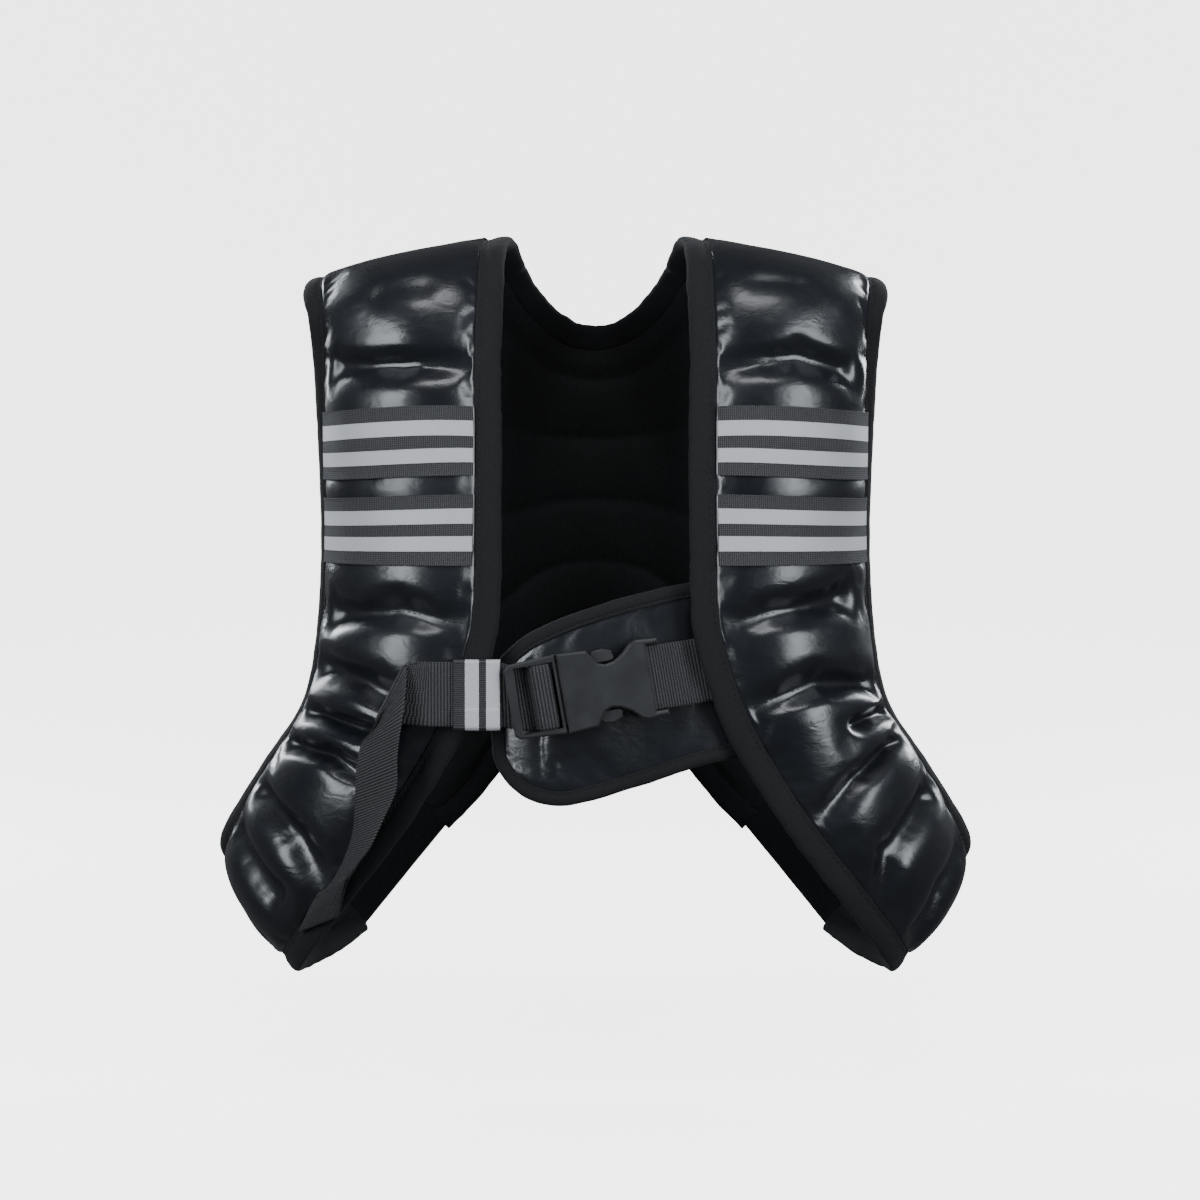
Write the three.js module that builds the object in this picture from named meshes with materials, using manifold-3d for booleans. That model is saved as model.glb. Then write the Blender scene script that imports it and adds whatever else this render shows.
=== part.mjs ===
// Weighted exercise vest, shown as worn and held up at the shoulders: quilted glossy panels over a neoprene lining,
// cloth edging, striped bands, and a side-release buckle on webbing over a padded flap.
// Millimetres, +Z up. The wearer faces -Y, so the wearer's left is +X. The origin is midway between the two
// shoulders, at the height where the straps rest on them.
import * as THREE from "three";
import { mergeVertices } from "three/addons/utils/BufferGeometryUtils.js";
import Module from "manifold-3d";

const wasm = await Module();
wasm.setup();

// Driving dimensions
const halfWidth = 235; // centre line to the widest point of the side loops
const halfDepth = 100; // centre to the chest, and to the back
const bodyHeight = 460; // shoulder rest to the lowest edge
const clearance = 0.35; // between pieces that touch
const padEdge = 3.5; // quilted panel's thickness at its edge seam
const padLoft = 13; // what the filling adds in the middle of a cell
const seamDepth = 0.55; // share of the filling that a quilting seam presses down
const liningThickness = 2.5;
const neckEdgingWidth = 16.5;
const armholeEdgingWidth = 13.5;
const edgingThickness = 7.4;
const stretchThickness = 4.5; // side panel
const stretchInset = 5; // how far the side panel's hem stays inside its neighbours' edging
const bandWidth = 40;
const bandThickness = 1;
const webbingWidth = 38;
const webbingThickness = 1.5;
const keeperWall = 1.2;
const flapThickness = 3;
const flapLoft = 4;
const flapEdgingWidth = 9;
const flapEdgingThickness = 6;
const buckleLength = 84; // from the plug's outer bar to the socket's mouth
const buckleWidth = 47;
const socketThickness = 11;
const frameThickness = 6.5; // the plug's ladder
const tongueThickness = 4.8;
const ladderBarThickness = 3.6;
const endRail = 2.3; // the ladder's bar beside the tongue
const anchorBarRadius = 1.75; // the socket's bar, which the short strap loops round
const webbingPlay = 0.7; // each side of the webbing in the buckle
const buckleGap = 6; // between the flap and the webbing under the plug
const buckleTilt = 9.9; // degrees, the socket's end higher
const buckleYaw = 4.5; // degrees, the socket's end deeper
const shortStrapTilt = 11.3; // degrees

// A table's rows as objects, by the names of its columns.
function named(columns, rows) {
  return rows.map((row) => Object.fromEntries(columns.map((name, i) => [name, row[i]])));
}

// Sections of a front panel, from the shoulder seam to the side seam: the outer (armhole) and inner (neck and hem)
// edge seams, as shares of halfWidth, halfDepth and bodyHeight. crown bows the section outwards, as a share of
// halfDepth; loft scales the filling; seam is 1 where a quilting seam crosses.
const frontSections = named(
  ["outX", "outY", "outZ", "inX", "inY", "inZ", "crown", "loft", "seam"],
  [
    [0.685, 0.58, -0.07, 0.25, 0.58, -0.03, 0, 0.1, 0],
    [0.695, 0.25, -0.046, 0.272, 0.25, 0.002, 0, 0.1, 0],
    [0.702, -0.13, -0.046, 0.288, -0.15, 0, 0, 0.1, 0],
    [0.7, -0.4, -0.061, 0.294, -0.5, -0.021, 0.02, 0.35, 0],
    [0.689, -0.52, -0.093, 0.298, -0.74, -0.072, 0.06, 0.7, 1],
    [0.683, -0.5, -0.157, 0.302, -0.88, -0.154, 0.1, 0.9, 1],
    [0.682, -0.42, -0.267, 0.298, -0.97, -0.263, 0.13, 1, 1],
    [0.68, -0.37, -0.376, 0.298, -1.01, -0.372, 0.13, 1, 1],
    [0.689, -0.35, -0.482, 0.306, -1.02, -0.491, 0.13, 1, 1],
    [0.721, -0.3, -0.582, 0.37, -0.98, -0.6, 0.13, 1, 1],
    [0.762, -0.24, -0.632, 0.447, -0.91, -0.674, 0.12, 1, 0],
    [0.816, -0.17, -0.673, 0.545, -0.82, -0.752, 0.1, 1, 1],
    [0.897, -0.04, -0.736, 0.69, -0.6, -0.85, 0.07, 0.9, 1],
    [0.972, 0.12, -0.81, 0.8, -0.24, -0.93, 0.01, 0.7, 1],
    [0.97, 0.31, -0.838, 0.815, 0.1, -0.95, 0, 0.5, 0],
    [0.925, 0.5, -0.836, 0.735, 0.42, -0.94, 0.03, 0.4, 1],
    [0.864, 0.68, -0.809, 0.667, 0.62, -0.917, 0, 0.2, 0],
  ],
);

// The side panel carries on from the front's last section to the end of the back's wing, in the same shares.
const sideMiddle = { outX: 0.8, outY: 0.8, outZ: -0.752, inX: 0.558, inY: 0.78, inZ: -0.85, crown: 0.03 };
const wingEnd = { outX: 0.715, outY: 0.88, outZ: -0.685, inX: 0.443, inY: 0.9, inZ: -0.78, crown: 0 };

// Edge seams of the back panel's left half, in the same shares.
const neckSeam = named(
  ["x", "y", "z"],
  [
    [0, 0.94, -0.128],
    [0.058, 0.925, -0.124],
    [0.117, 0.87, -0.11],
    [0.169, 0.79, -0.088],
    [0.212, 0.7, -0.062],
    [0.25, 0.58, -0.03],
  ],
);
const armholeSeam = named(
  ["x", "y", "z"],
  [
    [0.685, 0.58, -0.07],
    [0.665, 0.71, -0.11],
    [0.622, 0.81, -0.175],
    [0.565, 0.87, -0.255],
    [0.514, 0.9, -0.337],
    [0.49, 0.91, -0.424],
    [0.504, 0.91, -0.513],
    [0.566, 0.9, -0.596],
    [0.643, 0.89, -0.65],
    [0.715, 0.88, -0.685],
  ],
);
const hemSeam = named(
  ["x", "y", "z"],
  [
    [0, 0.98, -0.59],
    [0.12, 0.98, -0.61],
    [0.221, 0.975, -0.652],
    [0.306, 0.96, -0.7],
    [0.374, 0.93, -0.745],
    [0.443, 0.9, -0.78],
  ],
);
const backBow = 0.05; // how far the middle of the back stands out, as a share of halfDepth
const backSeams = [0.095, 0.27, 0.445, 0.62, 0.795]; // quilting seams, as shares of the way from neck to hem

// The flap behind the buckle, from its end behind the left panel to its free tip, with its lower edge seam as outer.
const flapSections = named(
  ["outX", "outY", "outZ", "inX", "inY", "inZ", "crown", "loft"],
  [
    [0.375, -0.878, -0.643, 0.375, -0.888, -0.441, 0, 0],
    [0.255, -0.912, -0.658, 0.247, -0.912, -0.455, 0, 0],
    [0.128, -0.92, -0.679, 0.14, -0.92, -0.467, 0, 0.5],
    [-0.01, -0.95, -0.7, 0.017, -0.95, -0.484, 0, 1],
    [-0.094, -0.95, -0.708, -0.085, -0.95, -0.503, 0, 1],
    [-0.162, -0.94, -0.699, -0.162, -0.94, -0.523, 0, 0.8],
    [-0.204, -0.92, -0.68, -0.204, -0.92, -0.542, 0, 0.4],
    [-0.226, -0.9, -0.659, -0.23, -0.9, -0.561, 0, 0],
  ],
);

// The adjusting strap's way over the right front panel, from the buckle outwards. The first few are in the keeper.
const strapZ = -0.579;
const strapX = [-0.237, -0.26, -0.285, -0.31, -0.33, -0.353, -0.41];
const keeperStations = 6;
const strapAnchorX = -0.445;
const foldTopX = -0.466;
const foldBottomX = -0.55;

// The hanging tail's free (inner) and resting (outer) edges, each as a row and a place across the front panel, and
// how far the free edge stands off the panel, as a share of the webbing's width.
const tailRows = named(
  ["freeRow", "freeAcross", "standOff", "restRow", "restAcross"],
  [
    [9.22, 0.77, 0.42, 9.87, 0.43],
    [9.76, 0.89, 0.5, 10.39, 0.55],
    [10.29, 1.06, 0.58, 10.81, 0.71],
    [10.72, 1.13, 0.62, 11.18, 0.86],
    [11.08, 1.19, 0.64, 11.41, 0.94],
    [11.32, 1.2, 0.54, 11.72, 1],
    [11.6, 1.22, 0.32, 12.09, 0.99],
    [12, 1.36, 0.06, 12.55, 1.06],
  ],
);

// Right half of the buckle's outlines: shares of buckleLength from the plug's outer bar, and of half buckleWidth.
const socketOutline = [
  [0.375, 1],
  [0.585, 0.95],
  [0.612, 0.8],
  [0.65, 0.6],
  [0.7, 0.54],
  [0.76, 0.58],
  [0.83, 0.72],
  [0.89, 0.93],
  [0.935, 1],
  [1.085, 0.96],
];
const tongueOutline = [
  [0.34, 0.8],
  [0.6, 0.8],
  [0.63, 0.9],
  [0.7, 0.92],
  [0.76, 0.84],
  [0.77, 0.64],
  [0.74, 0.6],
  [0.5, 0.6],
  [0.47, 0.5],
  [0.47, 0.34],
  [0.5, 0.28],
  [0.74, 0.28],
  [0.75, 0.2],
];
const ladder = { outerBar: 0.062, middleBar: 0.196, middleBarEnd: 0.304, end: 0.37 };
const plugBarWidth = 0.93; // the ladder's half width at its outer bar, as a share of half buckleWidth

// Where the bands cross a front panel, in rows of frontSections.
const bandRows = { shoulder: 0.95, upper: 5.97, lower: 6.98 };

const place = (x, y, z) => new THREE.Vector3(x * halfWidth, y * halfDepth, z * bodyHeight);
const mix = (a, b, share) => a.clone().lerp(b, share);
const clamp01 = (value) => Math.min(1, Math.max(0, value));

// Indexed mesh from points and faces, turned to face outwards.
function meshOf(points, faces) {
  let volume = 0;
  for (const [a, b, c] of faces) {
    volume += points[a].dot(points[b].clone().cross(points[c]));
  }
  const index = faces.flatMap(([a, b, c]) => (volume < 0 ? [a, c, b] : [a, b, c]));
  return new THREE.BufferGeometry().setFromPoints(points).setIndex(index);
}

// Triangles between two rows of points that run side by side, given each point's place along the row.
function zip(rowA, placeA, rowB, placeB, reversed) {
  const faces = [];
  let a = 0;
  let b = 0;
  while (a < rowA.length - 1 || b < rowB.length - 1) {
    const nextA = a < rowA.length - 1 ? placeA[a + 1] : Infinity;
    const nextB = b < rowB.length - 1 ? placeB[b + 1] : Infinity;
    const step = nextA <= nextB ? [rowA[a], rowA[++a], rowB[b]] : [rowA[a], rowB[b + 1], rowB[b++]];
    faces.push(reversed ? [step[0], step[2], step[1]] : step);
  }
  return faces;
}

// Closed slab between an outer and an inner grid of points, which may have different columns.
function slab(outer, inner, outerPlaces, innerPlaces) {
  const points = [...outer.flat(), ...inner.flat()];
  const wide = outerPlaces.length;
  const narrow = innerPlaces.length;
  const last = outer.length - 1;
  const out = (row, column) => row * wide + column;
  const back = (row, column) => outer.length * wide + row * narrow + column;
  const rowOf = (index, count, row) => Array.from({ length: count }, (_, column) => index(row, column));
  const faces = [];
  const quad = (a, b, c, d) => faces.push([a, b, c], [a, c, d]);
  for (let row = 0; row < last; row++) {
    for (let column = 0; column < wide - 1; column++) {
      quad(out(row, column), out(row, column + 1), out(row + 1, column + 1), out(row + 1, column));
    }
    for (let column = 0; column < narrow - 1; column++) {
      quad(back(row, column), back(row + 1, column), back(row + 1, column + 1), back(row, column + 1));
    }
    quad(out(row + 1, 0), back(row + 1, 0), back(row, 0), out(row, 0));
    quad(out(row, wide - 1), back(row, narrow - 1), back(row + 1, narrow - 1), out(row + 1, wide - 1));
  }
  for (const [row, reversed] of [[0, true], [last, false]]) {
    const outerRow = rowOf(out, wide, row);
    const innerRow = rowOf(back, narrow, row);
    faces.push(...zip(outerRow, outerPlaces, innerRow, innerPlaces, reversed));
  }
  return meshOf(points, faces);
}

// Tube through rings with the same number of points each, closed on itself or capped.
function tube(rings, closed) {
  const sides = rings[0].length;
  const faces = [];
  const runs = closed ? rings.length : rings.length - 1;
  for (let ring = 0; ring < runs; ring++) {
    const next = (ring + 1) % rings.length;
    for (let side = 0; side < sides; side++) {
      const across = (side + 1) % sides;
      const [a, b] = [ring * sides + side, ring * sides + across];
      const [c, d] = [next * sides + across, next * sides + side];
      faces.push([a, b, c], [a, c, d]);
    }
  }
  const end = (rings.length - 1) * sides;
  for (let side = 1; side < sides - 1 && !closed; side++) {
    faces.push([0, side + 1, side], [end, end + side, end + side + 1]);
  }
  return meshOf(rings.flat(), faces);
}

// Smooth curve through a table's places.
const curveOf = (points) => new THREE.CatmullRomCurve3(points, false, "centripetal");
const tableCurve = (rows) => curveOf(rows.map((row) => place(row.x, row.y, row.z)));

// Two panels meet at a joint: a straight seam, and the plane through it in which both of them end.
function jointOf(outer, inner, before, after) {
  const out = inner.clone().sub(outer).normalize();
  const face = out.clone().cross(after.clone().sub(before)).normalize();
  const onward = face.clone().cross(out);
  return { outer, inner, out, face, onward };
}
const sectionEnds = (row) => [place(row.outX, row.outY, row.outZ), place(row.inX, row.inY, row.inZ)];
const sectionMiddle = (row) => mix(...sectionEnds(row), 0.5);
const [firstSection, secondSection] = frontSections;
const lastSection = frontSections.at(-1);
const behindShoulder = place(0.42, 0.8, -0.15);
const shoulderJoint = jointOf(...sectionEnds(firstSection), behindShoulder, sectionMiddle(secondSection));
const beforeSide = sectionMiddle(frontSections.at(-2));
const sideJoint = jointOf(...sectionEnds(lastSection), beforeSide, sectionMiddle(sideMiddle));
const wingJoint = jointOf(...sectionEnds(wingEnd), sectionMiddle(sideMiddle), place(0.42, 0.92, -0.66));

// A long strip of the vest as a surface: row runs along it, across goes from -1 at the outer seam to 1 at the inner.
function stripOf(sections, firstJoint, lastJoint) {
  const count = sections.length - 1;
  const outer = curveOf(sections.map((row) => sectionEnds(row)[0]));
  const inner = curveOf(sections.map((row) => sectionEnds(row)[1]));
  const between = (row, name) => {
    const low = Math.min(count - 1, Math.floor(row));
    return THREE.MathUtils.lerp(sections[low][name], sections[low + 1][name], row - low);
  };
  const step = 0.02;
  const clampRow = (row) => Math.min(count, Math.max(0, row));
  const jointAt = (row) => (row <= 0 ? firstJoint : row >= count ? lastJoint : undefined);
  const sectionNormal = (row) => {
    const [low, high] = [clampRow(row - step) / count, clampRow(row + step) / count];
    const along = mix(outer.getPoint(high), inner.getPoint(high), 0.5);
    along.sub(mix(outer.getPoint(low), inner.getPoint(low), 0.5));
    return inner.getPoint(row / count).sub(outer.getPoint(row / count)).cross(along).normalize();
  };
  const point = (row, across) => {
    const middle = mix(outer.getPoint(row / count), inner.getPoint(row / count), (across + 1) / 2);
    const bow = between(row, "crown") * halfDepth * (1 - across * across);
    return middle.addScaledVector(sectionNormal(row), bow);
  };
  const acrossAt = (row, across) => {
    const joint = jointAt(row);
    return joint ? joint.out.clone() : point(row, across + step).sub(point(row, across - step)).normalize();
  };
  const normal = (row, across) => {
    const joint = jointAt(row);
    const along = point(clampRow(row + step), across).sub(point(clampRow(row - step), across));
    return joint ? joint.face.clone() : acrossAt(row, across).cross(along).normalize();
  };
  // A piece that ends at a joint stops half a clearance short of its plane.
  const lift = (row, across, height) => {
    const made = point(row, across).addScaledVector(normal(row, across), height);
    const short = row <= 0 ? clearance / 2 : row >= count ? -clearance / 2 : 0;
    return jointAt(row) ? made.addScaledVector(jointAt(row).onward, short) : made;
  };
  return { count, point, normal, acrossAt, lift, between };
}

const frontStrip = stripOf(frontSections, shoulderJoint, sideJoint);
const sideStrip = stripOf([{ ...lastSection, crown: 0 }, sideMiddle, wingEnd], sideJoint, wingJoint);

// Filling's height over the base of a quilted panel: full in a cell, pressed down at a seam, thin at the edges.
const dome = (across) => 1 - Math.abs(across) ** 2.6;
const quiltHeight = (across, loft, pressed) => padEdge + padLoft * loft * dome(across) * (1 - seamDepth * pressed);

// The back panel as a surface: side goes from -1 at the right armhole to 1 at the left, down from 0 at the neck and
// shoulder seams to 1 at the hem and the wings' ends. Its half-way side is where neck meets shoulder seam.
const neckCurve = tableCurve(neckSeam);
const armholeCurve = tableCurve(armholeSeam);
const hemCurve = tableCurve(hemSeam);
const joinSide = 0.5;

function backEdge(curve, outerEnd, side) {
  if (side <= joinSide) {
    return curve.getPointAt(side / joinSide);
  }
  return mix(curve.getPointAt(1), outerEnd, (side - joinSide) / (1 - joinSide));
}

function backPlain(signedSide, down) {
  const side = Math.abs(signedSide);
  const top = backEdge(neckCurve, armholeCurve.getPoint(0), side);
  const bottom = backEdge(hemCurve, armholeCurve.getPoint(1), side);
  const sway = armholeCurve.getPointAt(clamp01(down));
  sway.sub(mix(armholeCurve.getPoint(0), armholeCurve.getPoint(1), down));
  const made = mix(top, bottom, down);
  const depthShare = clamp01(side / joinSide) ** 1.2;
  made.x += sway.x * side ** 1.5;
  made.y += sway.y * depthShare + 4 * backBow * halfDepth * down * (1 - down) * (1 - depthShare);
  made.z += sway.z * side ** 1.5;
  made.x *= Math.sign(signedSide);
  return made;
}

// Away from the edges the corners of the neck and the hem are smoothed out.
function backPoint(side, down) {
  const spread = 1.6 * clamp01(down) * clamp01(1 - down) * (1 - Math.abs(side)) * 0.5;
  const near = [-1, -0.5, 0, 0.5, 1].map((way) => backPlain(side + way * spread, down));
  return near.reduce((sum, point) => sum.add(point), new THREE.Vector3()).divideScalar(near.length);
}

const backStep = 0.004;
const backAlong = (side, down) => {
  const low = Math.max(0, down - backStep);
  const high = Math.min(1, down + backStep);
  return backPoint(side, high).sub(backPoint(side, low)).normalize();
};
const backAcross = (side, down) => {
  const low = Math.max(-1, side - backStep);
  const high = Math.min(1, side + backStep);
  return backPoint(high, down).sub(backPoint(low, down)).normalize();
};
const flipX = (v) => new THREE.Vector3(-v.x, v.y, v.z);
function backJoint(side, down) {
  const joint = down <= 0 ? shoulderJoint : down >= 1 ? wingJoint : undefined;
  if (!joint) {
    return undefined;
  }
  const onward = joint.onward.clone().multiplyScalar(down <= 0 ? -1 : 1);
  return side < 0 ? { face: flipX(joint.face), onward: flipX(onward) } : { face: joint.face, onward };
}
// At the neck and the hem the way it faces turns gradually into that of the joint.
function backNormal(side, down) {
  const joint = backJoint(side, down);
  const own = backAcross(side, down).cross(backAlong(side, down)).normalize();
  return joint ? own.lerp(joint.face, clamp01(Math.abs(side) / joinSide) ** 2).normalize() : own;
}
function backLift(side, down, height) {
  const made = backPoint(side, down).addScaledVector(backNormal(side, down), height);
  const atJoint = backJoint(side, down) && Math.abs(side) >= joinSide;
  return atJoint ? made.addScaledVector(backJoint(side, down).onward, -clearance / 2) : made;
}

// Rows along a panel: a few between each pair of given places.
function rowsBetween(places, steps) {
  const rows = [];
  for (let i = 0; i < places.length - 1; i++) {
    for (let step = 0; step < steps; step++) {
      rows.push(THREE.MathUtils.lerp(places[i], places[i + 1], step / steps));
    }
  }
  return [...rows, places.at(-1)];
}
const evenly = (low, high, steps) => rowsBetween([low, high], steps);

const stepsAfter = [2, 2, 2, 2, 3, 3, 3, 3, 3, 2, 2, 3, 3, 2, 2, 3];
const frontRows = [...stepsAfter.flatMap((steps, i) => evenly(i, i + 1, steps).slice(0, -1)), frontStrip.count];
const faceColumns = [-1, -0.86, -0.6, -0.3, 0, 0.3, 0.6, 0.86, 1];
const baseColumns = [-1, -0.5, 0, 0.5, 1];
const isSeam = (row) => Number.isInteger(row) && frontSections[row].seam === 1;
const frontHeight = (row, across, pressed) => quiltHeight(across, frontStrip.between(row, "loft"), pressed);
const frontSheet = (columns, height) =>
  frontRows.map((row) => columns.map((across) => frontStrip.lift(row, across, height(row, across))));

function frontPanel() {
  const face = frontSheet(faceColumns, (row, across) => frontHeight(row, across, isSeam(row) ? 1 : 0));
  return slab(face, frontSheet(baseColumns, () => 0), faceColumns, baseColumns);
}

function frontLining() {
  const upper = frontSheet(baseColumns, () => -clearance);
  const lower = frontSheet(baseColumns, () => -clearance - liningThickness);
  return slab(upper, lower, baseColumns, baseColumns);
}

const backRows = rowsBetween([0, ...backSeams, 1], 3);
const halfColumns = [0.1, 0.2, 0.3, 0.4, 0.5, 0.66, 0.83, 1];
const backColumns = [...halfColumns.map((side) => -side).reverse(), 0, ...halfColumns];
const backLoft = 0.9;
const backSheet = (height) => backRows.map((down) => backColumns.map((side) => backLift(side, down, height(side, down))));

function backHeight(side, down) {
  const pressed = backSeams.includes(down) ? 1 : 0;
  const nearEnd = clamp01(Math.min(down, 1 - down) / 0.07) ** 0.6;
  return quiltHeight(side, backLoft * nearEnd, pressed);
}

const backPanel = () => slab(backSheet(backHeight), backSheet(() => 0), backColumns, backColumns);

function backLining() {
  const upper = backSheet(() => -clearance);
  const lower = backSheet(() => -clearance - liningThickness);
  return slab(upper, lower, backColumns, backColumns);
}

// Edging is a rounded tape: each station has its seam point, the way out from the panel and the panel's normal.
const edgingSection = [
  [0, -0.5],
  [0, 0.5],
  [0.82, 0.5],
  [1, 0],
  [0.82, -0.5],
];
const edgingMiddle = (padEdge - clearance - liningThickness) / 2;
function edgingRing({ seam, out, normal }, width) {
  return edgingSection.map(([far, up]) => {
    const made = seam.clone().addScaledVector(out, clearance + far * width);
    return made.addScaledVector(normal, edgingMiddle + up * edgingThickness);
  });
}

// A station's way out, squared to the normal and to the edge's own direction.
function squared(stations) {
  return stations.map((station, i) => {
    const before = stations[Math.max(0, i - 1)].seam;
    const after = stations[Math.min(stations.length - 1, i + 1)].seam;
    const out = after.clone().sub(before).cross(station.normal).normalize();
    return { ...station, out: out.dot(station.out) < 0 ? out.negate() : out };
  });
}
const mirrored = ({ seam, out, normal }) => ({ seam: flipX(seam), out: flipX(out), normal: flipX(normal) });

const stripStation = (strip, row, across) => ({
  seam: strip.lift(row, across, 0),
  out: strip.acrossAt(row, across).multiplyScalar(across),
  normal: strip.normal(row, across),
});
const backStation = (side, down, out) => ({ seam: backLift(side, down, 0), out, normal: backNormal(side, down) });

// Edging of both halves, from its end on the left, which stays in that joint's plane, over the middle of the back.
function pairedEdging(half) {
  const made = [half[0], ...squared(half).slice(1)];
  made.at(-1).out.setX(0).normalize();
  const rest = made.slice(0, -1).reverse().map(mirrored);
  return tube([...made, ...rest].map((station) => edgingRing(station, neckEdgingWidth)), false);
}

const towardsMiddle = halfColumns.slice(0, 5).reverse();
function neckEdging() {
  const front = [...frontRows].reverse().map((row) => stripStation(frontStrip, row, 1));
  const back = [...towardsMiddle.slice(1), 0].map((side) => backStation(side, 0, backAlong(side, 0).negate()));
  return pairedEdging([...front, ...back]);
}

function hemEdging() {
  const half = [...towardsMiddle, 0].map((side) => backStation(side, 1, backAlong(side, 1)));
  half[0].out = wingJoint.out.clone();
  return pairedEdging(half);
}

const sideRows = evenly(0, sideStrip.count, 4);
function armholeEdging() {
  const front = frontRows.map((row) => stripStation(frontStrip, row, -1));
  const side = sideRows.slice(1).map((row) => stripStation(sideStrip, row, -1));
  const up = backRows.slice(1, -1).reverse().map((down) => backStation(1, down, backAcross(1, down)));
  const loop = [...front, ...side, ...up];
  const wrapped = squared([loop.at(-1), ...loop, loop[0]]).slice(1, -1);
  return tube(wrapped.map((station) => edgingRing(station, armholeEdgingWidth)), true);
}

function sidePanel() {
  const columns = evenly(-1, 1, 4);
  const reach = neckEdgingWidth - stretchInset;
  const sheet = (height) =>
    sideRows.map((row) => {
      const line = columns.map((across) => sideStrip.lift(row, across, height));
      return [...line, line.at(-1).clone().addScaledVector(sideStrip.acrossAt(row, 1), reach)];
    });
  const places = [...columns, 1.3];
  return slab(sheet(stretchThickness / 2), sheet(-stretchThickness / 2), places, places);
}

// A striped band laid over the filling of a front panel, from edge seam to edge seam.
const bandGap = 2 * clearance; // the band bridges the filling's small hollows
const bandColumns = [-0.985, -0.86, -0.6, -0.3, 0, 0.3, 0.6, 0.86, 0.985];
function reflectiveBand(middleRow) {
  const perRow = frontStrip.point(middleRow + 0.1, 0).distanceTo(frontStrip.point(middleRow - 0.1, 0)) / 0.2;
  const reach = bandWidth / 2 / perRow;
  const rows = evenly(middleRow - reach, middleRow + reach, 3);
  const sheet = (extra) =>
    rows.map((row) =>
      bandColumns.map((across) => frontStrip.lift(row, across, frontHeight(row, across, 0) + bandGap + extra)),
    );
  return slab(sheet(bandThickness), sheet(0), bandColumns, bandColumns);
}

// Flap: its pad and the edging round three sides.
const flapEnd = (row) => {
  const [outer, inner] = sectionEnds(row);
  const out = inner.clone().sub(outer).normalize();
  return { outer, inner, out, face: new THREE.Vector3(0, -1, 0), onward: new THREE.Vector3(-1, 0, 0) };
};
const flapStrip = stripOf(flapSections, flapEnd(flapSections[0]), flapEnd(flapSections.at(-1)));
const flapColumns = [-1, -0.8, -0.4, 0, 0.4, 0.8, 1];
const flapRows = [0, 1, 2, 3, 4, 5, 6, 7];
function flapPad() {
  const sheet = (height) =>
    flapRows.map((row) => flapColumns.map((across) => flapStrip.lift(row, across, height(row, across))));
  const face = sheet((row, across) => flapThickness + flapLoft * flapStrip.between(row, "loft") * dome(across));
  return slab(face, sheet(() => 0), flapColumns, flapColumns);
}
function flapEdging() {
  const upper = flapRows.map((row) => stripStation(flapStrip, row, 1));
  const tip = [...flapColumns].reverse().slice(1, -1).map((across) => {
    return { seam: flapStrip.lift(7, across, 0), out: new THREE.Vector3(-1, 0, 0), normal: flapStrip.normal(7, across) };
  });
  const lower = [...flapRows].reverse().map((row) => stripStation(flapStrip, row, -1));
  const rings = squared([...upper, ...tip, ...lower]).map(({ seam, out, normal }) =>
    edgingSection.map(([far, up]) => {
      const made = seam.clone().addScaledVector(out, 2 * clearance + far * flapEdgingWidth);
      return made.addScaledVector(normal, flapThickness / 2 + up * flapEdgingThickness);
    }),
  );
  return tube(rings, false);
}

// Buckle, in its own frame: x from the plug's outer bar to the mouth, y backwards, z across it.
const flapFront = -flapSections[4].outY * halfDepth + flapThickness + flapLoft;
const underFrame = frameThickness / 2 + 2 * (clearance + webbingThickness);
const buckleFrame = new THREE.Matrix4()
  .makeTranslation(-0.214 * halfWidth, -(flapFront + buckleGap + underFrame), -0.5895 * bodyHeight)
  .multiply(new THREE.Matrix4().makeRotationZ(THREE.MathUtils.degToRad(buckleYaw)))
  .multiply(new THREE.Matrix4().makeRotationY(THREE.MathUtils.degToRad(-buckleTilt)));
const inBuckle = (x, y, z) => new THREE.Vector3(x, y, z).applyMatrix4(buckleFrame);
const buckleWay = (x, y, z) => new THREE.Vector3(x, y, z).transformDirection(buckleFrame);

// A flat plate with bevelled edges, from its outline in the buckle's x and z.
function plate(outline, thickness, bevel) {
  const shape = new THREE.Shape(outline.map(([x, z]) => new THREE.Vector2(x, z)));
  const made = new THREE.ExtrudeGeometry(shape, {
    depth: thickness - 2 * bevel,
    bevelThickness: bevel,
    bevelSize: bevel,
    bevelOffset: -bevel,
    bevelSegments: 1,
  });
  return made.translate(0, 0, bevel - thickness / 2).rotateX(Math.PI / 2);
}
const boxAround = (x0, x1, thickness, width) => {
  return new THREE.BoxGeometry(x1 - x0, thickness, width).translate((x0 + x1) / 2, 0, 0);
};
function solidOf(geometry) {
  const bare = new THREE.BufferGeometry().setAttribute("position", geometry.getAttribute("position"));
  const merged = mergeVertices(geometry.index ? bare.setIndex(geometry.index) : bare, 1e-4);
  const vertProperties = merged.getAttribute("position").array;
  return new wasm.Manifold(new wasm.Mesh({ numProp: 3, vertProperties, triVerts: new Uint32Array(merged.index.array) }));
}
function geometryOf(solid) {
  const mesh = solid.getMesh();
  const made = new THREE.BufferGeometry().setIndex([...mesh.triVerts]);
  return made.setAttribute("position", new THREE.BufferAttribute(mesh.vertProperties, 3)).applyMatrix4(buckleFrame);
}
const halfBuckle = buckleWidth / 2;
const halfOpening = webbingWidth / 2 + webbingPlay;
const alongBuckle = ([x, z]) => [x * buckleLength, z * halfBuckle];
const bothHalves = (half) => [...half, ...[...half].reverse().map(([x, z]) => [x, -z])];

const mouthHeight = 2 * (anchorBarRadius + webbingThickness + 2 * clearance);
const mouthStart = 0.905 * buckleLength;
const anchorBarX = mouthStart + mouthHeight / 2;

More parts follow.
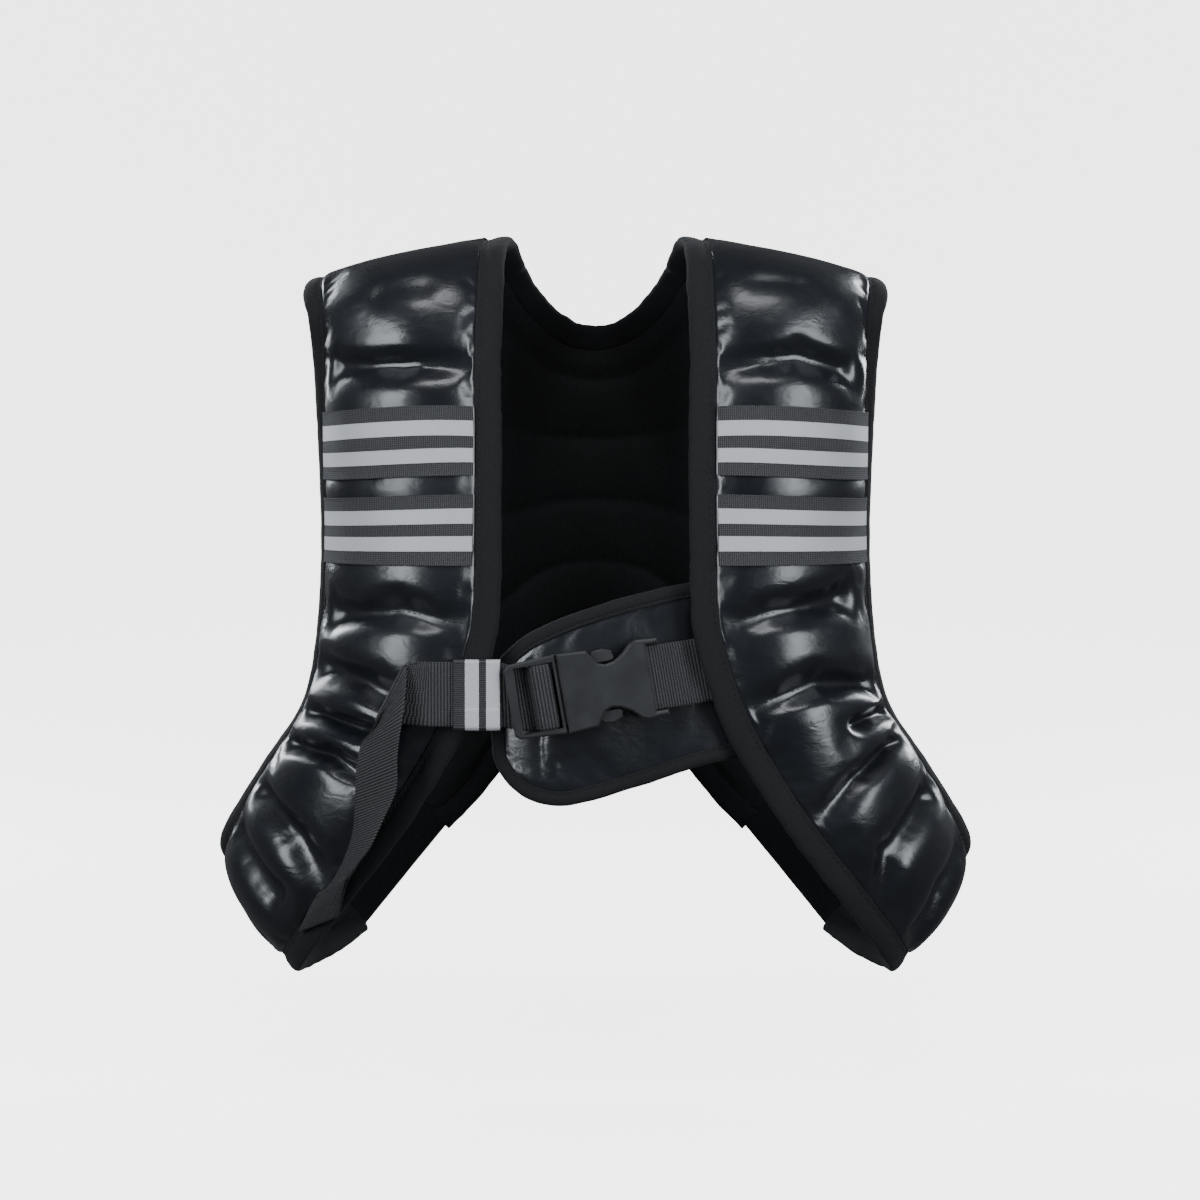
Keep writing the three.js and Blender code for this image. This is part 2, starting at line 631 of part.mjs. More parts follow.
function buckleSocket() {
  const lips = [
    [1.085 * buckleLength, halfOpening],
    [buckleLength, halfOpening],
  ];
  const body = plate(bothHalves([...socketOutline.map(alongBuckle), ...lips]), socketThickness, 1.2);
  const pocketWidth = 0.865 * buckleWidth;
  const pocket = boxAround(0.3 * buckleLength, 0.8 * buckleLength, tongueThickness + 2 * clearance, pocketWidth);
  const mouth = boxAround(mouthStart, 1.05 * buckleLength, mouthHeight, 2 * halfOpening);
  const bar = new THREE.CylinderGeometry(anchorBarRadius, anchorBarRadius, 2 * halfOpening + 3, 8)
    .rotateX(Math.PI / 2)
    .translate(anchorBarX, 0, 0);
  return geometryOf(solidOf(body).subtract(solidOf(pocket)).subtract(solidOf(mouth)).add(solidOf(bar)));
}

function bucklePlug() {
  const corner = 2.5;
  const barHalf = plugBarWidth * halfBuckle;
  const end = ladder.end * buckleLength;
  const outline = bothHalves([[0, barHalf - corner], [corner, barHalf], [end, halfBuckle]]);
  const from = ladder.outerBar * buckleLength;
  const to = end - endRail;
  const frame = solidOf(plate(outline, frameThickness, 1));
  const opening = solidOf(boxAround(from, to, 2 * frameThickness, 2 * halfOpening));
  const middle = bothHalves([
    [ladder.middleBar * buckleLength, halfOpening + 1],
    [ladder.middleBarEnd * buckleLength, halfOpening + 1],
  ]);
  const middleBar = plate(middle, ladderBarThickness, 0.8);
  const tongue = plate(bothHalves(tongueOutline.map(alongBuckle)), tongueThickness, 0.6);
  const ladderPart = frame.subtract(opening).add(solidOf(middleBar));
  return geometryOf(ladderPart.add(solidOf(tongue)));
}

// Webbing from stations of its upper and lower edge and the way its face looks.
function ribbon(stations) {
  const rings = stations.map(({ upper, lower, face }) => {
    const front = [upper, lower].map((edge) => edge.clone().addScaledVector(face, webbingThickness / 2));
    const behind = [lower, upper].map((edge) => edge.clone().addScaledVector(face, -webbingThickness / 2));
    return [...front, ...behind];
  });
  return tube(rings, false);
}
const station = (middle, wide, face) => ({
  upper: middle.clone().addScaledVector(wide, webbingWidth / 2),
  lower: middle.clone().addScaledVector(wide, -webbingWidth / 2),
  face,
});

// Stations along a path of [x, y] points in the buckle's frame, with mitred corners.
function buckleStations(path) {
  const side = (a, b) => new THREE.Vector2(b[1] - a[1], a[0] - b[0]).normalize();
  return path.map((point, i) => {
    const before = side(path[Math.max(0, i - 1)], path[Math.max(1, i)]);
    const after = side(path[Math.min(path.length - 2, i)], path[Math.min(path.length - 1, i + 1)]);
    const face = before.clone().add(after).normalize();
    face.divideScalar(face.dot(after));
    const turned = buckleWay(face.x, face.y, 0).multiplyScalar(face.length());
    return station(inBuckle(point[0], point[1], 0), buckleWay(0, 0, 1), turned);
  });
}

// The short strap: a loop from behind the left panel round the socket's bar and back.
function shortStrap() {
  const tilt = THREE.MathUtils.degToRad(shortStrapTilt);
  const wide = new THREE.Vector3(-Math.sin(tilt), 0, Math.cos(tilt));
  const half = (webbingThickness + clearance) / 2;
  const ahead = [place(0.28, -0.968, -0.5485), place(0.235, -0.968, -0.553)];
  const layer = (way) => ahead.map((point) => {
    const face = new THREE.Vector3(0, -way, 0);
    return station(point.clone().add(new THREE.Vector3(0, -way * half, 0)), wide, face);
  });
  const turn = anchorBarRadius + clearance + webbingThickness / 2;
  const slant = turn * Math.SQRT1_2;
  const out = 1.02 * buckleLength;
  const loop = buckleStations([
    [out, -turn + 0.5],
    [anchorBarX + 1, -turn],
    [anchorBarX - slant, -slant],
    [anchorBarX - turn, 0],
    [anchorBarX - slant, slant],
    [anchorBarX + 1, turn],
    [out, turn - 0.5],
  ]);
  return ribbon([...layer(1), ...loop, ...layer(-1).reverse()]);
}

// How far forward the right front panel and its edging reach under a strap at some x.
const front = new THREE.Vector3(0, -1, 0);
function restDepth(x, z) {
  const ray = new THREE.Raycaster(new THREE.Vector3(x, -3 * halfDepth, z), front.clone().negate());
  const hit = ray.intersectObjects([frontPanels[1], neckTape])[0];
  return hit ? -hit.point.y : 0;
}
function strapDepth(x) {
  const reach = webbingWidth / 2 + clearance + keeperWall;
  const heights = evenly(-reach, reach, 6).map((up) => strapZ * bodyHeight + up);
  const under = heights.flatMap((z) => [-3, 0, 3].map((aside) => restDepth(x + aside, z)));
  return Math.max(...under) + clearance + webbingThickness / 2;
}
const onStrap = (x, depth) => new THREE.Vector3(x, -depth, strapZ * bodyHeight);
const upright = new THREE.Vector3(0, 0, 1);

// Depths of the strap's inner layer. Being taut, it is straight between the places that stand out most.
function layerDepths() {
  const plug = inBuckle(-2, underFrame - webbingThickness / 2, 0);
  const rests = [...strapX, strapAnchorX].map((share, i) => {
    const x = share * halfWidth;
    return { x, depth: strapDepth(x) + (i < keeperStations ? keeperWall + clearance : 0) };
  });
  const held = [{ x: plug.x, depth: -plug.y }, ...rests];
  return rests.map(({ x }) => {
    const chords = held.flatMap((a) => held.filter((b) => b.x <= x && x < a.x).map((b) => [a, b]));
    return Math.max(...chords.map(([a, b]) => THREE.MathUtils.mapLinear(x, a.x, b.x, a.depth, b.depth)));
  });
}
const layerStep = webbingThickness + clearance;

// Over the panel: a point above its filling, seen on the right panel.
function overPanel(row, across, gap) {
  const loft = frontStrip.between(row, "loft") * Math.max(0, dome(across));
  return flipX(frontStrip.lift(row, across, padEdge + padLoft * loft + gap));
}

function adjustStrap() {
  const inner = strapX.map((share, i) => station(onStrap(share * halfWidth, depths[i]), upright, front));
  const anchor = station(onStrap(strapAnchorX * halfWidth, depths.at(-1)), upright, front);
  const turnB = ladder.middleBarEnd * buckleLength + clearance + webbingThickness / 2;
  const turnA = ladder.middleBar * buckleLength - clearance - webbingThickness / 2;
  const innerY = underFrame - webbingThickness / 2;
  const outerY = innerY - layerStep;
  const overBar = -(ladderBarThickness / 2 + clearance + webbingThickness / 2);
  const cut = 1.2;
  const ladderWay = buckleStations([
    [ladder.outerBar * buckleLength + 3, innerY],
    [turnB - cut, innerY],
    [turnB, innerY - cut],
    [turnB, overBar + cut],
    [turnB - cut, overBar],
    [turnA + cut, overBar],
    [turnA, overBar + cut],
    [turnA, outerY - cut],
    [turnA - cut, outerY],
    [ladder.outerBar * buckleLength + 3, outerY],
  ]);
  const back = front.clone().negate();
  const outer = strapX.map((share, i) => station(onStrap(share * halfWidth, depths[i] + layerStep), upright, back));
  const foldDepth = depths.at(-2) + layerStep;
  const foldTop = onStrap(foldTopX * halfWidth, foldDepth - 0.5).addScaledVector(upright, webbingWidth / 2);
  const foldBottom = onStrap(foldBottomX * halfWidth, foldDepth - 5).addScaledVector(upright, -webbingWidth / 2);
  const outward = foldTop.clone().sub(foldBottom).cross(front).normalize();
  const foldAt = (ahead, beyond, face) => ({
    upper: foldTop.clone().addScaledVector(front, ahead).addScaledVector(outward, beyond),
    lower: foldBottom.clone().addScaledVector(front, ahead).addScaledVector(outward, beyond),
    face,
  });
  const fold = [
    foldAt(0, 0, back),
    foldAt(layerStep / 2, layerStep / 2, outward.clone()),
    foldAt(layerStep, 0, front),
  ];
  const tail = tailRows.map((row) => {
    const upper = overPanel(row.freeRow, row.freeAcross, 2 + row.standOff * webbingWidth);
    const lower = overPanel(row.restRow, row.restAcross, 2 + clearance);
    return { upper, lower, face: front };
  });
  tail.forEach((one, i) => {
    const next = tail[Math.min(i + 1, tail.length - 1)];
    const last = tail[Math.max(i - 1, 0)];
    const along = mix(next.upper, next.lower, 0.5).sub(mix(last.upper, last.lower, 0.5));
    const face = one.upper.clone().sub(one.lower).cross(along).normalize();
    one.face = face.dot(front) < 0 ? face.negate() : face;
  });
  return ribbon([anchor, ...inner.reverse(), ...ladderWay, ...outer, ...fold, ...tail]);
}

// The keeper: a loop of band round both layers.
function strapKeeper() {
  const stations = strapX.slice(0, keeperStations).map((share, i) => onStrap(share * halfWidth, depths[i] + layerStep / 2));
  const innerHalf = layerStep / 2 + webbingThickness / 2 + clearance;
  const tall = webbingWidth / 2 + clearance;
  const corners = [
    [1, 1],
    [-1, 1],
    [-1, -1],
    [1, -1],
  ];
  const rings = corners.map(([ahead, up]) => {
    const at = (middle, wall) => {
      const made = middle.clone().addScaledVector(front, ahead * (innerHalf + wall));
      return made.addScaledVector(upright, up * (tall + wall));
    };
    const inside = stations.map((middle) => at(middle, 0));
    const outside = stations.map((middle) => at(middle, keeperWall));
    return [...inside, ...outside.reverse()];
  });
  return tube(rings, true);
}

// Materials
const finish = (colour, roughness, metalness = 0) => {
  return new THREE.MeshStandardMaterial({ color: colour, roughness, metalness, side: THREE.DoubleSide });
};
const materials = {
  coated: finish(0x0a0b0e, 0.16),
  lining: finish(0x0b0c0c, 0.9),
  edging: finish(0x121314, 0.85),
  stretch: finish(0x0d0e0e, 0.92),
  band: finish(0x8f9094, 0.6),
  webbing: finish(0x16171a, 0.8),
  buckle: finish(0x1b1c1f, 0.42),
};

const vest = new THREE.Group();
function add(name, geometry, material, mirrorOf = false) {
  const mesh = new THREE.Mesh(geometry, material.clone());
  mesh.name = name;
  mesh.scale.x = mirrorOf ? -1 : 1;
  vest.add(mesh);
  return mesh;
}
function addPair(name, geometry, material) {
  return [add(`${name}_left`, geometry, material), add(`${name}_right`, geometry, material, true)];
}

const frontPanels = addPair("front_panel", frontPanel(), materials.coated);
addPair("lining_front", frontLining(), materials.lining);
add("back_panel", backPanel(), materials.coated);
add("lining_back", backLining(), materials.lining);
addPair("side_panel", sidePanel(), materials.stretch);
const neckTape = add("neck_edging", neckEdging(), materials.edging);
add("hem_edging", hemEdging(), materials.edging);
addPair("armhole_edging", armholeEdging(), materials.edging);
for (const [name, row] of Object.entries(bandRows)) {
  addPair(`band_${name}`, reflectiveBand(row), materials.band);
}
add("flap", flapPad(), materials.coated);
add("flap_edging", flapEdging(), materials.edging);
add("buckle_socket", buckleSocket(), materials.buckle);
add("buckle_plug", bucklePlug(), materials.buckle);
add("strap_short", shortStrap(), materials.webbing);
vest.updateMatrixWorld(true);
const depths = layerDepths();
add("strap_adjust", adjustStrap(), materials.webbing);
add("keeper", strapKeeper(), materials.band);

export default vest;
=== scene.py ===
# A weighted exercise vest in its worn form: glossy quilted panels, soft lining, edge tape, striped bands,
# webbing and a side-release buckle over a padded flap. Metres; +X is the wearer's left, the wearer faces -Y.
import math
import time

import bpy
import numpy as np
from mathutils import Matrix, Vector
from mathutils.bvhtree import BVHTree


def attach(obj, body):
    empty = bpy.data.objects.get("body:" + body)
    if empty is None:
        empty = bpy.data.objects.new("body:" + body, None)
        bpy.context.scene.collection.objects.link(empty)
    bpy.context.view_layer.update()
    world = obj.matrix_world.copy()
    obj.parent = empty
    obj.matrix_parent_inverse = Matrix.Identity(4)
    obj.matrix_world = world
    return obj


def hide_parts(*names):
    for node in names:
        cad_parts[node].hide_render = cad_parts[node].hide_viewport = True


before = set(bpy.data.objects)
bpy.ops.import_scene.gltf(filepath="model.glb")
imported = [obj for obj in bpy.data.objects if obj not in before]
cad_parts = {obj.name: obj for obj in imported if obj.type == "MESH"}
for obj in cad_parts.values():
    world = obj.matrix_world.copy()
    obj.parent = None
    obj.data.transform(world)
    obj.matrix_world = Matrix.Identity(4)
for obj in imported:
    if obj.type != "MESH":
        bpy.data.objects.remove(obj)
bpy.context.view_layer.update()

started = time.time()
scene = bpy.context.scene


def say(words):
    print(f"[{time.time() - started:5.1f} s] {words}")


# Sizes shared with the solids, in metres
size = {
    "halfWidth": 0.235, "halfDepth": 0.1, "height": 0.46, "gap": 0.00035, "padEdge": 0.0035, "padLoft": 0.013,
    "lining": 0.0025, "neckTape": 0.0165, "armTape": 0.0135, "tape": 0.0074, "stretch": 0.0045,
    "band": 0.04, "bandThick": 0.001, "webbing": 0.038, "webbingThick": 0.0015, "keeperWall": 0.0012,
    "flap": 0.003, "flapLoft": 0.004, "flapTape": 0.009, "flapTapeThick": 0.006,
}
unit = np.array([size["halfWidth"], size["halfDepth"], size["height"]])

# Front panel, shoulder to side: outer edge seam x, y, z, inner edge seam x, y, z, crown and loft, as shares
frontTable = np.array([
    [0.685, 0.58, -0.07, 0.25, 0.58, -0.03, 0, 0.1],
    [0.695, 0.25, -0.046, 0.272, 0.25, 0.002, 0, 0.1],
    [0.702, -0.13, -0.046, 0.288, -0.15, 0, 0, 0.1],
    [0.7, -0.4, -0.061, 0.294, -0.5, -0.021, 0.02, 0.35],
    [0.689, -0.52, -0.093, 0.298, -0.74, -0.072, 0.06, 0.7],
    [0.683, -0.5, -0.157, 0.302, -0.88, -0.154, 0.1, 0.9],
    [0.682, -0.42, -0.267, 0.298, -0.97, -0.263, 0.13, 1],
    [0.68, -0.37, -0.376, 0.298, -1.01, -0.372, 0.13, 1],
    [0.689, -0.35, -0.482, 0.306, -1.02, -0.491, 0.13, 1],
    [0.721, -0.3, -0.582, 0.37, -0.98, -0.6, 0.13, 1],
    [0.762, -0.24, -0.632, 0.447, -0.91, -0.674, 0.12, 1],
    [0.816, -0.17, -0.673, 0.545, -0.82, -0.752, 0.1, 1],
    [0.897, -0.04, -0.736, 0.69, -0.6, -0.85, 0.07, 0.9],
    [0.972, 0.12, -0.81, 0.8, -0.24, -0.93, 0.01, 0.7],
    [0.97, 0.31, -0.838, 0.815, 0.1, -0.95, 0, 0.5],
    [0.925, 0.5, -0.836, 0.735, 0.42, -0.94, 0.03, 0.4],
    [0.864, 0.68, -0.809, 0.667, 0.62, -0.917, 0, 0.2],
])
sideMiddle = [0.8, 0.8, -0.752, 0.558, 0.78, -0.85, 0.03, 0]
wingEnd = [0.715, 0.88, -0.685, 0.443, 0.9, -0.78, 0, 0]
neckSeam = np.array([
    [0, 0.94, -0.128], [0.058, 0.925, -0.124], [0.117, 0.87, -0.11], [0.169, 0.79, -0.088],
    [0.212, 0.7, -0.062], [0.25, 0.58, -0.03],
])
armholeSeam = np.array([
    [0.685, 0.58, -0.07], [0.665, 0.71, -0.11], [0.622, 0.81, -0.175], [0.565, 0.87, -0.255],
    [0.514, 0.9, -0.337], [0.49, 0.91, -0.424], [0.504, 0.91, -0.513], [0.566, 0.9, -0.596],
    [0.643, 0.89, -0.65], [0.715, 0.88, -0.685],
])
hemSeam = np.array([
    [0, 0.98, -0.59], [0.12, 0.98, -0.61], [0.221, 0.975, -0.652], [0.306, 0.96, -0.7],
    [0.374, 0.93, -0.745], [0.443, 0.9, -0.78],
])
flapTable = np.array([
    [0.375, -0.878, -0.643, 0.375, -0.888, -0.441, 0, 0],
    [0.255, -0.912, -0.658, 0.247, -0.912, -0.455, 0, 0],
    [0.128, -0.92, -0.679, 0.14, -0.92, -0.467, 0, 0.5],
    [-0.01, -0.95, -0.7, 0.017, -0.95, -0.484, 0, 1],
    [-0.094, -0.95, -0.708, -0.085, -0.95, -0.503, 0, 1],
    [-0.162, -0.94, -0.699, -0.162, -0.94, -0.523, 0, 0.8],
    [-0.204, -0.92, -0.68, -0.204, -0.92, -0.542, 0, 0.4],
    [-0.226, -0.9, -0.659, -0.23, -0.9, -0.561, 0, 0],
])


# Surfaces

# Lengths of vectors, and vectors of length 1.
def norm(v):
    return np.linalg.norm(v, axis=-1, keepdims=True)


def unitOf(v):
    return v / np.maximum(norm(v), 1e-12)


# Length run along a path, from 0 at its first point.
def runOf(path):
    return np.concatenate([[0], np.cumsum(norm(np.diff(path, axis=0))[:, 0])])


# A path's columns read off at the lengths t of its run.
def alongRun(t, run, path):
    return np.stack([np.interp(t, run, path[:, i]) for i in range(path.shape[1])], -1)


# Centripetal Catmull-Rom curve through the points: on each span a cubic whose end slopes are weighed by the
# square roots of the distances; t counts the given points.
def splineAt(points, t):
    p = np.asarray(points, float)
    count = len(p) - 1
    ends = np.vstack([2 * p[0] - p[1], p, 2 * p[-1] - p[-2]])
    low = np.clip(np.floor(t).astype(int), 0, count - 1)
    w = (np.asarray(t) - low)[..., None]
    p0, p1, p2, p3 = ends[low], ends[low + 1], ends[low + 2], ends[low + 3]
    d0, d1, d2 = (np.maximum(np.sqrt(norm(b - a)), 1e-6) for a, b in ((p0, p1), (p1, p2), (p2, p3)))
    s1 = ((p1 - p0) / d0 - (p2 - p0) / (d0 + d1) + (p2 - p1) / d1) * d1
    s2 = ((p2 - p1) / d1 - (p3 - p1) / (d1 + d2) + (p3 - p2) / d2) * d1
    c2, c3 = 3 * (p2 - p1) - 2 * s1 - s2, 2 * (p1 - p2) + s1 + s2
    return p1 + s1 * w + c2 * w ** 2 + c3 * w ** 3


# The same curve by its length: share goes from 0 to 1.
def splineByLength(points, share):
    fine = np.linspace(0, len(points) - 1, 800)
    path = splineAt(points, fine)
    run = runOf(path)
    return splineAt(points, np.interp(np.asarray(share) * run[-1], run, fine))


# A strip between an outer and an inner curve, bowed out by its crown: middle + bow times (1 - across^2) along
# the normal of the flat section. rows and across are arrays of one shape.
def stripPoint(table, rows, across):
    table = np.asarray(table, float)
    count = len(table) - 1
    outer = splineAt(table[:, 0:3] * unit, rows)
    inner = splineAt(table[:, 3:6] * unit, rows)
    ahead, back = np.clip(rows + 0.02, 0, count), np.clip(rows - 0.02, 0, count)
    along = splineAt(table[:, 0:3] * unit, ahead) + splineAt(table[:, 3:6] * unit, ahead)
    along -= splineAt(table[:, 0:3] * unit, back) + splineAt(table[:, 3:6] * unit, back)
    normal = unitOf(np.cross(inner - outer, along))
    bow = np.interp(rows, np.arange(count + 1), table[:, 6]) * size["halfDepth"]
    across = np.asarray(across)[..., None]
    return (outer + inner) / 2 + (inner - outer) / 2 * across + normal * bow[..., None] * (1 - across ** 2)


# A grid of the strip: its points and the way each faces, from the cross product of the grid's own slopes.
def stripGrid(table, rows, across):
    r, a = np.meshgrid(rows, across, indexing="ij")
    count = len(table) - 1
    ahead, behind = np.clip(r + 0.03, 0, count), np.clip(r - 0.03, 0, count)
    along = stripPoint(table, ahead, a) - stripPoint(table, behind, a)
    wide = stripPoint(table, r, a + 0.02) - stripPoint(table, r, a - 0.02)
    return stripPoint(table, r, a), unitOf(np.cross(wide, along))


# The back as a surface: side from -1 to 1, down from 0 at the neck and shoulder seams to 1 at the hem.
# Between its top and bottom edges it is mixed evenly, swayed by the armhole's curve and bulged in the middle.
# The neck seam and the hem end at seamEnd.
backShape = {"seamEnd": 0.5, "swayPower": 1.5, "depthPower": 1.2, "bulge": 0.2, "spread": 0.8, "step": 0.004}


def backPlain(side, down):
    s, end = np.abs(side), backShape["seamEnd"]
    inner, beyond = np.clip(s / end, 0, 1), np.clip((s - end) / (1 - end), 0, 1)[..., None]
    arm0, arm1 = armholeSeam[0] * unit, armholeSeam[-1] * unit
    neckEnd, hemEnd = neckSeam[-1] * unit, hemSeam[-1] * unit
    top = splineByLength(neckSeam * unit, inner) * (1 - beyond) + beyond * arm0
    top = np.where(beyond > 0, neckEnd + (arm0 - neckEnd) * beyond, top)
    bottom = splineByLength(hemSeam * unit, inner)
    bottom = np.where(beyond > 0, hemEnd + (arm1 - hemEnd) * beyond, bottom)
    d = down[..., None]
    made = top + (bottom - top) * d
    sway = splineByLength(armholeSeam * unit, np.clip(down, 0, 1)) - (arm0 + (arm1 - arm0) * d)
    share, bulge = inner ** backShape["depthPower"], backShape["bulge"] * size["halfDepth"]
    made[..., 0] += sway[..., 0] * s ** backShape["swayPower"]
    made[..., 1] += sway[..., 1] * share + bulge * down * (1 - down) * (1 - share)
    made[..., 2] += sway[..., 2] * s ** backShape["swayPower"]
    made[..., 0] *= np.sign(side)
    return made


# The same, averaged with its neighbours on both sides so that its corners don't run on inside.
def backPoint(side, down):
    spread = backShape["spread"] * np.clip(down, 0, 1) * np.clip(1 - down, 0, 1) * (1 - np.abs(side))
    return sum(backPlain(side + way * spread, down) for way in (-1, -0.5, 0, 0.5, 1)) / 5


# A grid of the back: its points and the way each faces.
def backGrid(downs, sides):
    d, s = np.meshgrid(downs, sides, indexing="ij")
    step = backShape["step"]
    wide = backPoint(np.clip(s + step, -1, 1), d) - backPoint(np.clip(s - step, -1, 1), d)
    along = backPoint(s, np.clip(d + step, 0, 1)) - backPoint(s, np.clip(d - step, 0, 1))
    return backPoint(s, d), unitOf(np.cross(wide, along))


# The filling's height: full in a cell's middle, thin at the edges.
def domeAt(across):
    return 1 - np.abs(across) ** 2.6


def padHeight(rows, across):
    loft = np.interp(rows, np.arange(len(frontTable)), frontTable[:, 7])
    return size["padEdge"] + size["padLoft"] * loft * domeAt(across)


# Smooth noise: a sum of sine waves in seeded directions, from about -1 to 1.
def waves(points, length, seed):
    count = 7
    made = np.zeros(points.shape[:-1])
    random = np.random.default_rng(seed)
    for _ in range(count):
        way = unitOf(random.normal(size=3))
        stretch = random.uniform(0.7, 1.4)
        made += np.sin(2 * math.pi * (points @ way) * stretch / length + random.uniform(0, 6.28))
    return made / math.sqrt(count)


# Meshes

# Quads over a grid of rows by columns, first index start; closed joins the last column to the first.
def gridFaces(rows, columns, start=0, closed=False, flip=False):
    r, c = np.meshgrid(np.arange(rows - 1), np.arange(columns if closed else columns - 1), indexing="ij")
    nextC = (c + 1) % columns
    here, below = r * columns, (r + 1) * columns
    quads = np.stack([here + c, here + nextC, below + nextC, below + c], -1).reshape(-1, 4) + start
    return quads[:, ::-1] if flip else quads


# Object from points and faces with smooth shading; uv is one pair for each point, in metres.
def meshObject(name, points, faces, uv=None, material=None):
    mesh = bpy.data.meshes.new(name)
    mesh.from_pydata(np.asarray(points).tolist(), [], [list(map(int, f)) for f in faces])
    mesh.update()
    if uv is not None:
        layer = mesh.uv_layers.new(name="weave")
        index = np.empty(len(mesh.loops), int)
        mesh.loops.foreach_get("vertex_index", index)
        layer.data.foreach_set("uv", np.asarray(uv, np.float32)[index].ravel())
    mesh.polygons.foreach_set("use_smooth", np.full(len(mesh.polygons), True))
    obj = bpy.data.objects.new(name, mesh)
    scene.collection.objects.link(obj)
    if material:
        mesh.materials.append(material)
    return obj


# Adds a subdivision that renders as it shows.
def subdivide(obj):
    modifier = obj.modifiers.new("smooth", "SUBSURF")
    modifier.levels = modifier.render_levels = 1
    return obj


# What every soft piece does: it hides the solid it stands for, if it has one, and joins the root body.
def settle(obj, node):
    if node:
        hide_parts(node)
    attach(obj, "root")


# A grid with an extra line just inside each border, so that subdivision keeps its edges where they are.
def braced(grid):
    share = 0.12
    for _ in range(2):
        first = grid[:1] * (1 - share) + grid[1:2] * share
        last = grid[-1:] * (1 - share) + grid[-2:-1] * share
        grid = np.concatenate([grid[:1], first, grid[1:-1], last, grid[-1:]]).swapaxes(0, 1)
    return grid


# The way a grid's middle quad faces, from the cross product of two of its sides.
def middleCross(grid):
    r, c = grid.shape[0] // 2, grid.shape[1] // 2
    return np.cross(grid[r, c + 1] - grid[r, c], grid[r + 1, c + 1] - grid[r, c])


# Closed slab between a front and a back grid of the same shape; faces point away from the back.
def slabObject(name, front, back, material, uv=None):
    front, back, uv = braced(front), braced(back), None if uv is None else braced(uv)
    rows, columns = front.shape[:2]
    count = rows * columns
    points = np.vstack([front.reshape(-1, 3), back.reshape(-1, 3)])
    ring = [r * columns for r in range(rows)] + [(rows - 1) * columns + c for c in range(1, columns)]
    ring += [r * columns + columns - 1 for r in range(rows - 2, -1, -1)] + list(range(columns - 2, 0, -1))
    ring = np.array(ring)
    after = np.roll(ring, -1)
    sides = np.stack([ring, ring + count, after + count, after], -1)
    faces = np.vstack([gridFaces(rows, columns), gridFaces(rows, columns, count, flip=True), sides[:, ::-1]])
    if uv is None:
        run = np.zeros((rows, columns, 2))
        run[1:, :, 0] = np.cumsum(norm(np.diff(front, axis=0))[..., 0].mean(1))[:, None]
        run[:, 1:, 1] = np.cumsum(norm(np.diff(front, axis=1))[..., 0], axis=1)
        uv = run
    both = np.vstack([uv.reshape(-1, 2), uv.reshape(-1, 2)])
    outward = front[rows // 2, columns // 2] - back[rows // 2, columns // 2]
    if np.dot(middleCross(front), outward) < 0:
        faces = faces[:, ::-1]
    return meshObject(name, points, faces, both, material)


# A slab that stands for its solid, smoothed, and mirrored where asked.
def slabPiece(name, node, front, back, material, uv=None, mirror=False):
    if mirror:
        front, back = flipX(front), flipX(back)
    settle(subdivide(slabObject(name, front, back, material, uv)), node)


# Closed tube through rings (stations x sides x 3), capped with its end rings, or joined end to end.
def tubeObject(name, rings, material, closed=False, uv=None):
    stations, sides = rings.shape[:2]
    faces = gridFaces(stations, sides, closed=True).tolist()
    if closed:
        last = np.arange(sides) + (stations - 1) * sides
        first = np.arange(sides)
        faces += np.stack([last, np.roll(last, -1), np.roll(first, -1), first], -1).tolist()
    else:
        faces += [list(range(sides))[::-1], [(stations - 1) * sides + i for i in range(sides)]]
    middle = rings[stations // 2].mean(0)
    a, b = rings[stations // 2, 0], rings[stations // 2, 1]
    c = rings[min(stations // 2 + 1, stations - 1), 0]
    if np.dot(np.cross(b - a, c - a), (a + b) / 2 - middle) < 0:
        faces = [f[::-1] for f in faces]
    if uv is None:
        uv = np.stack(np.meshgrid(runOf(rings[:, 0]), runOf(rings[stations // 2]), indexing="ij"), -1)
    return meshObject(name, rings.reshape(-1, 3), faces, uv.reshape(-1, 2), material)


def flipX(points):
    return points * np.array([-1, 1, 1])


# Materials

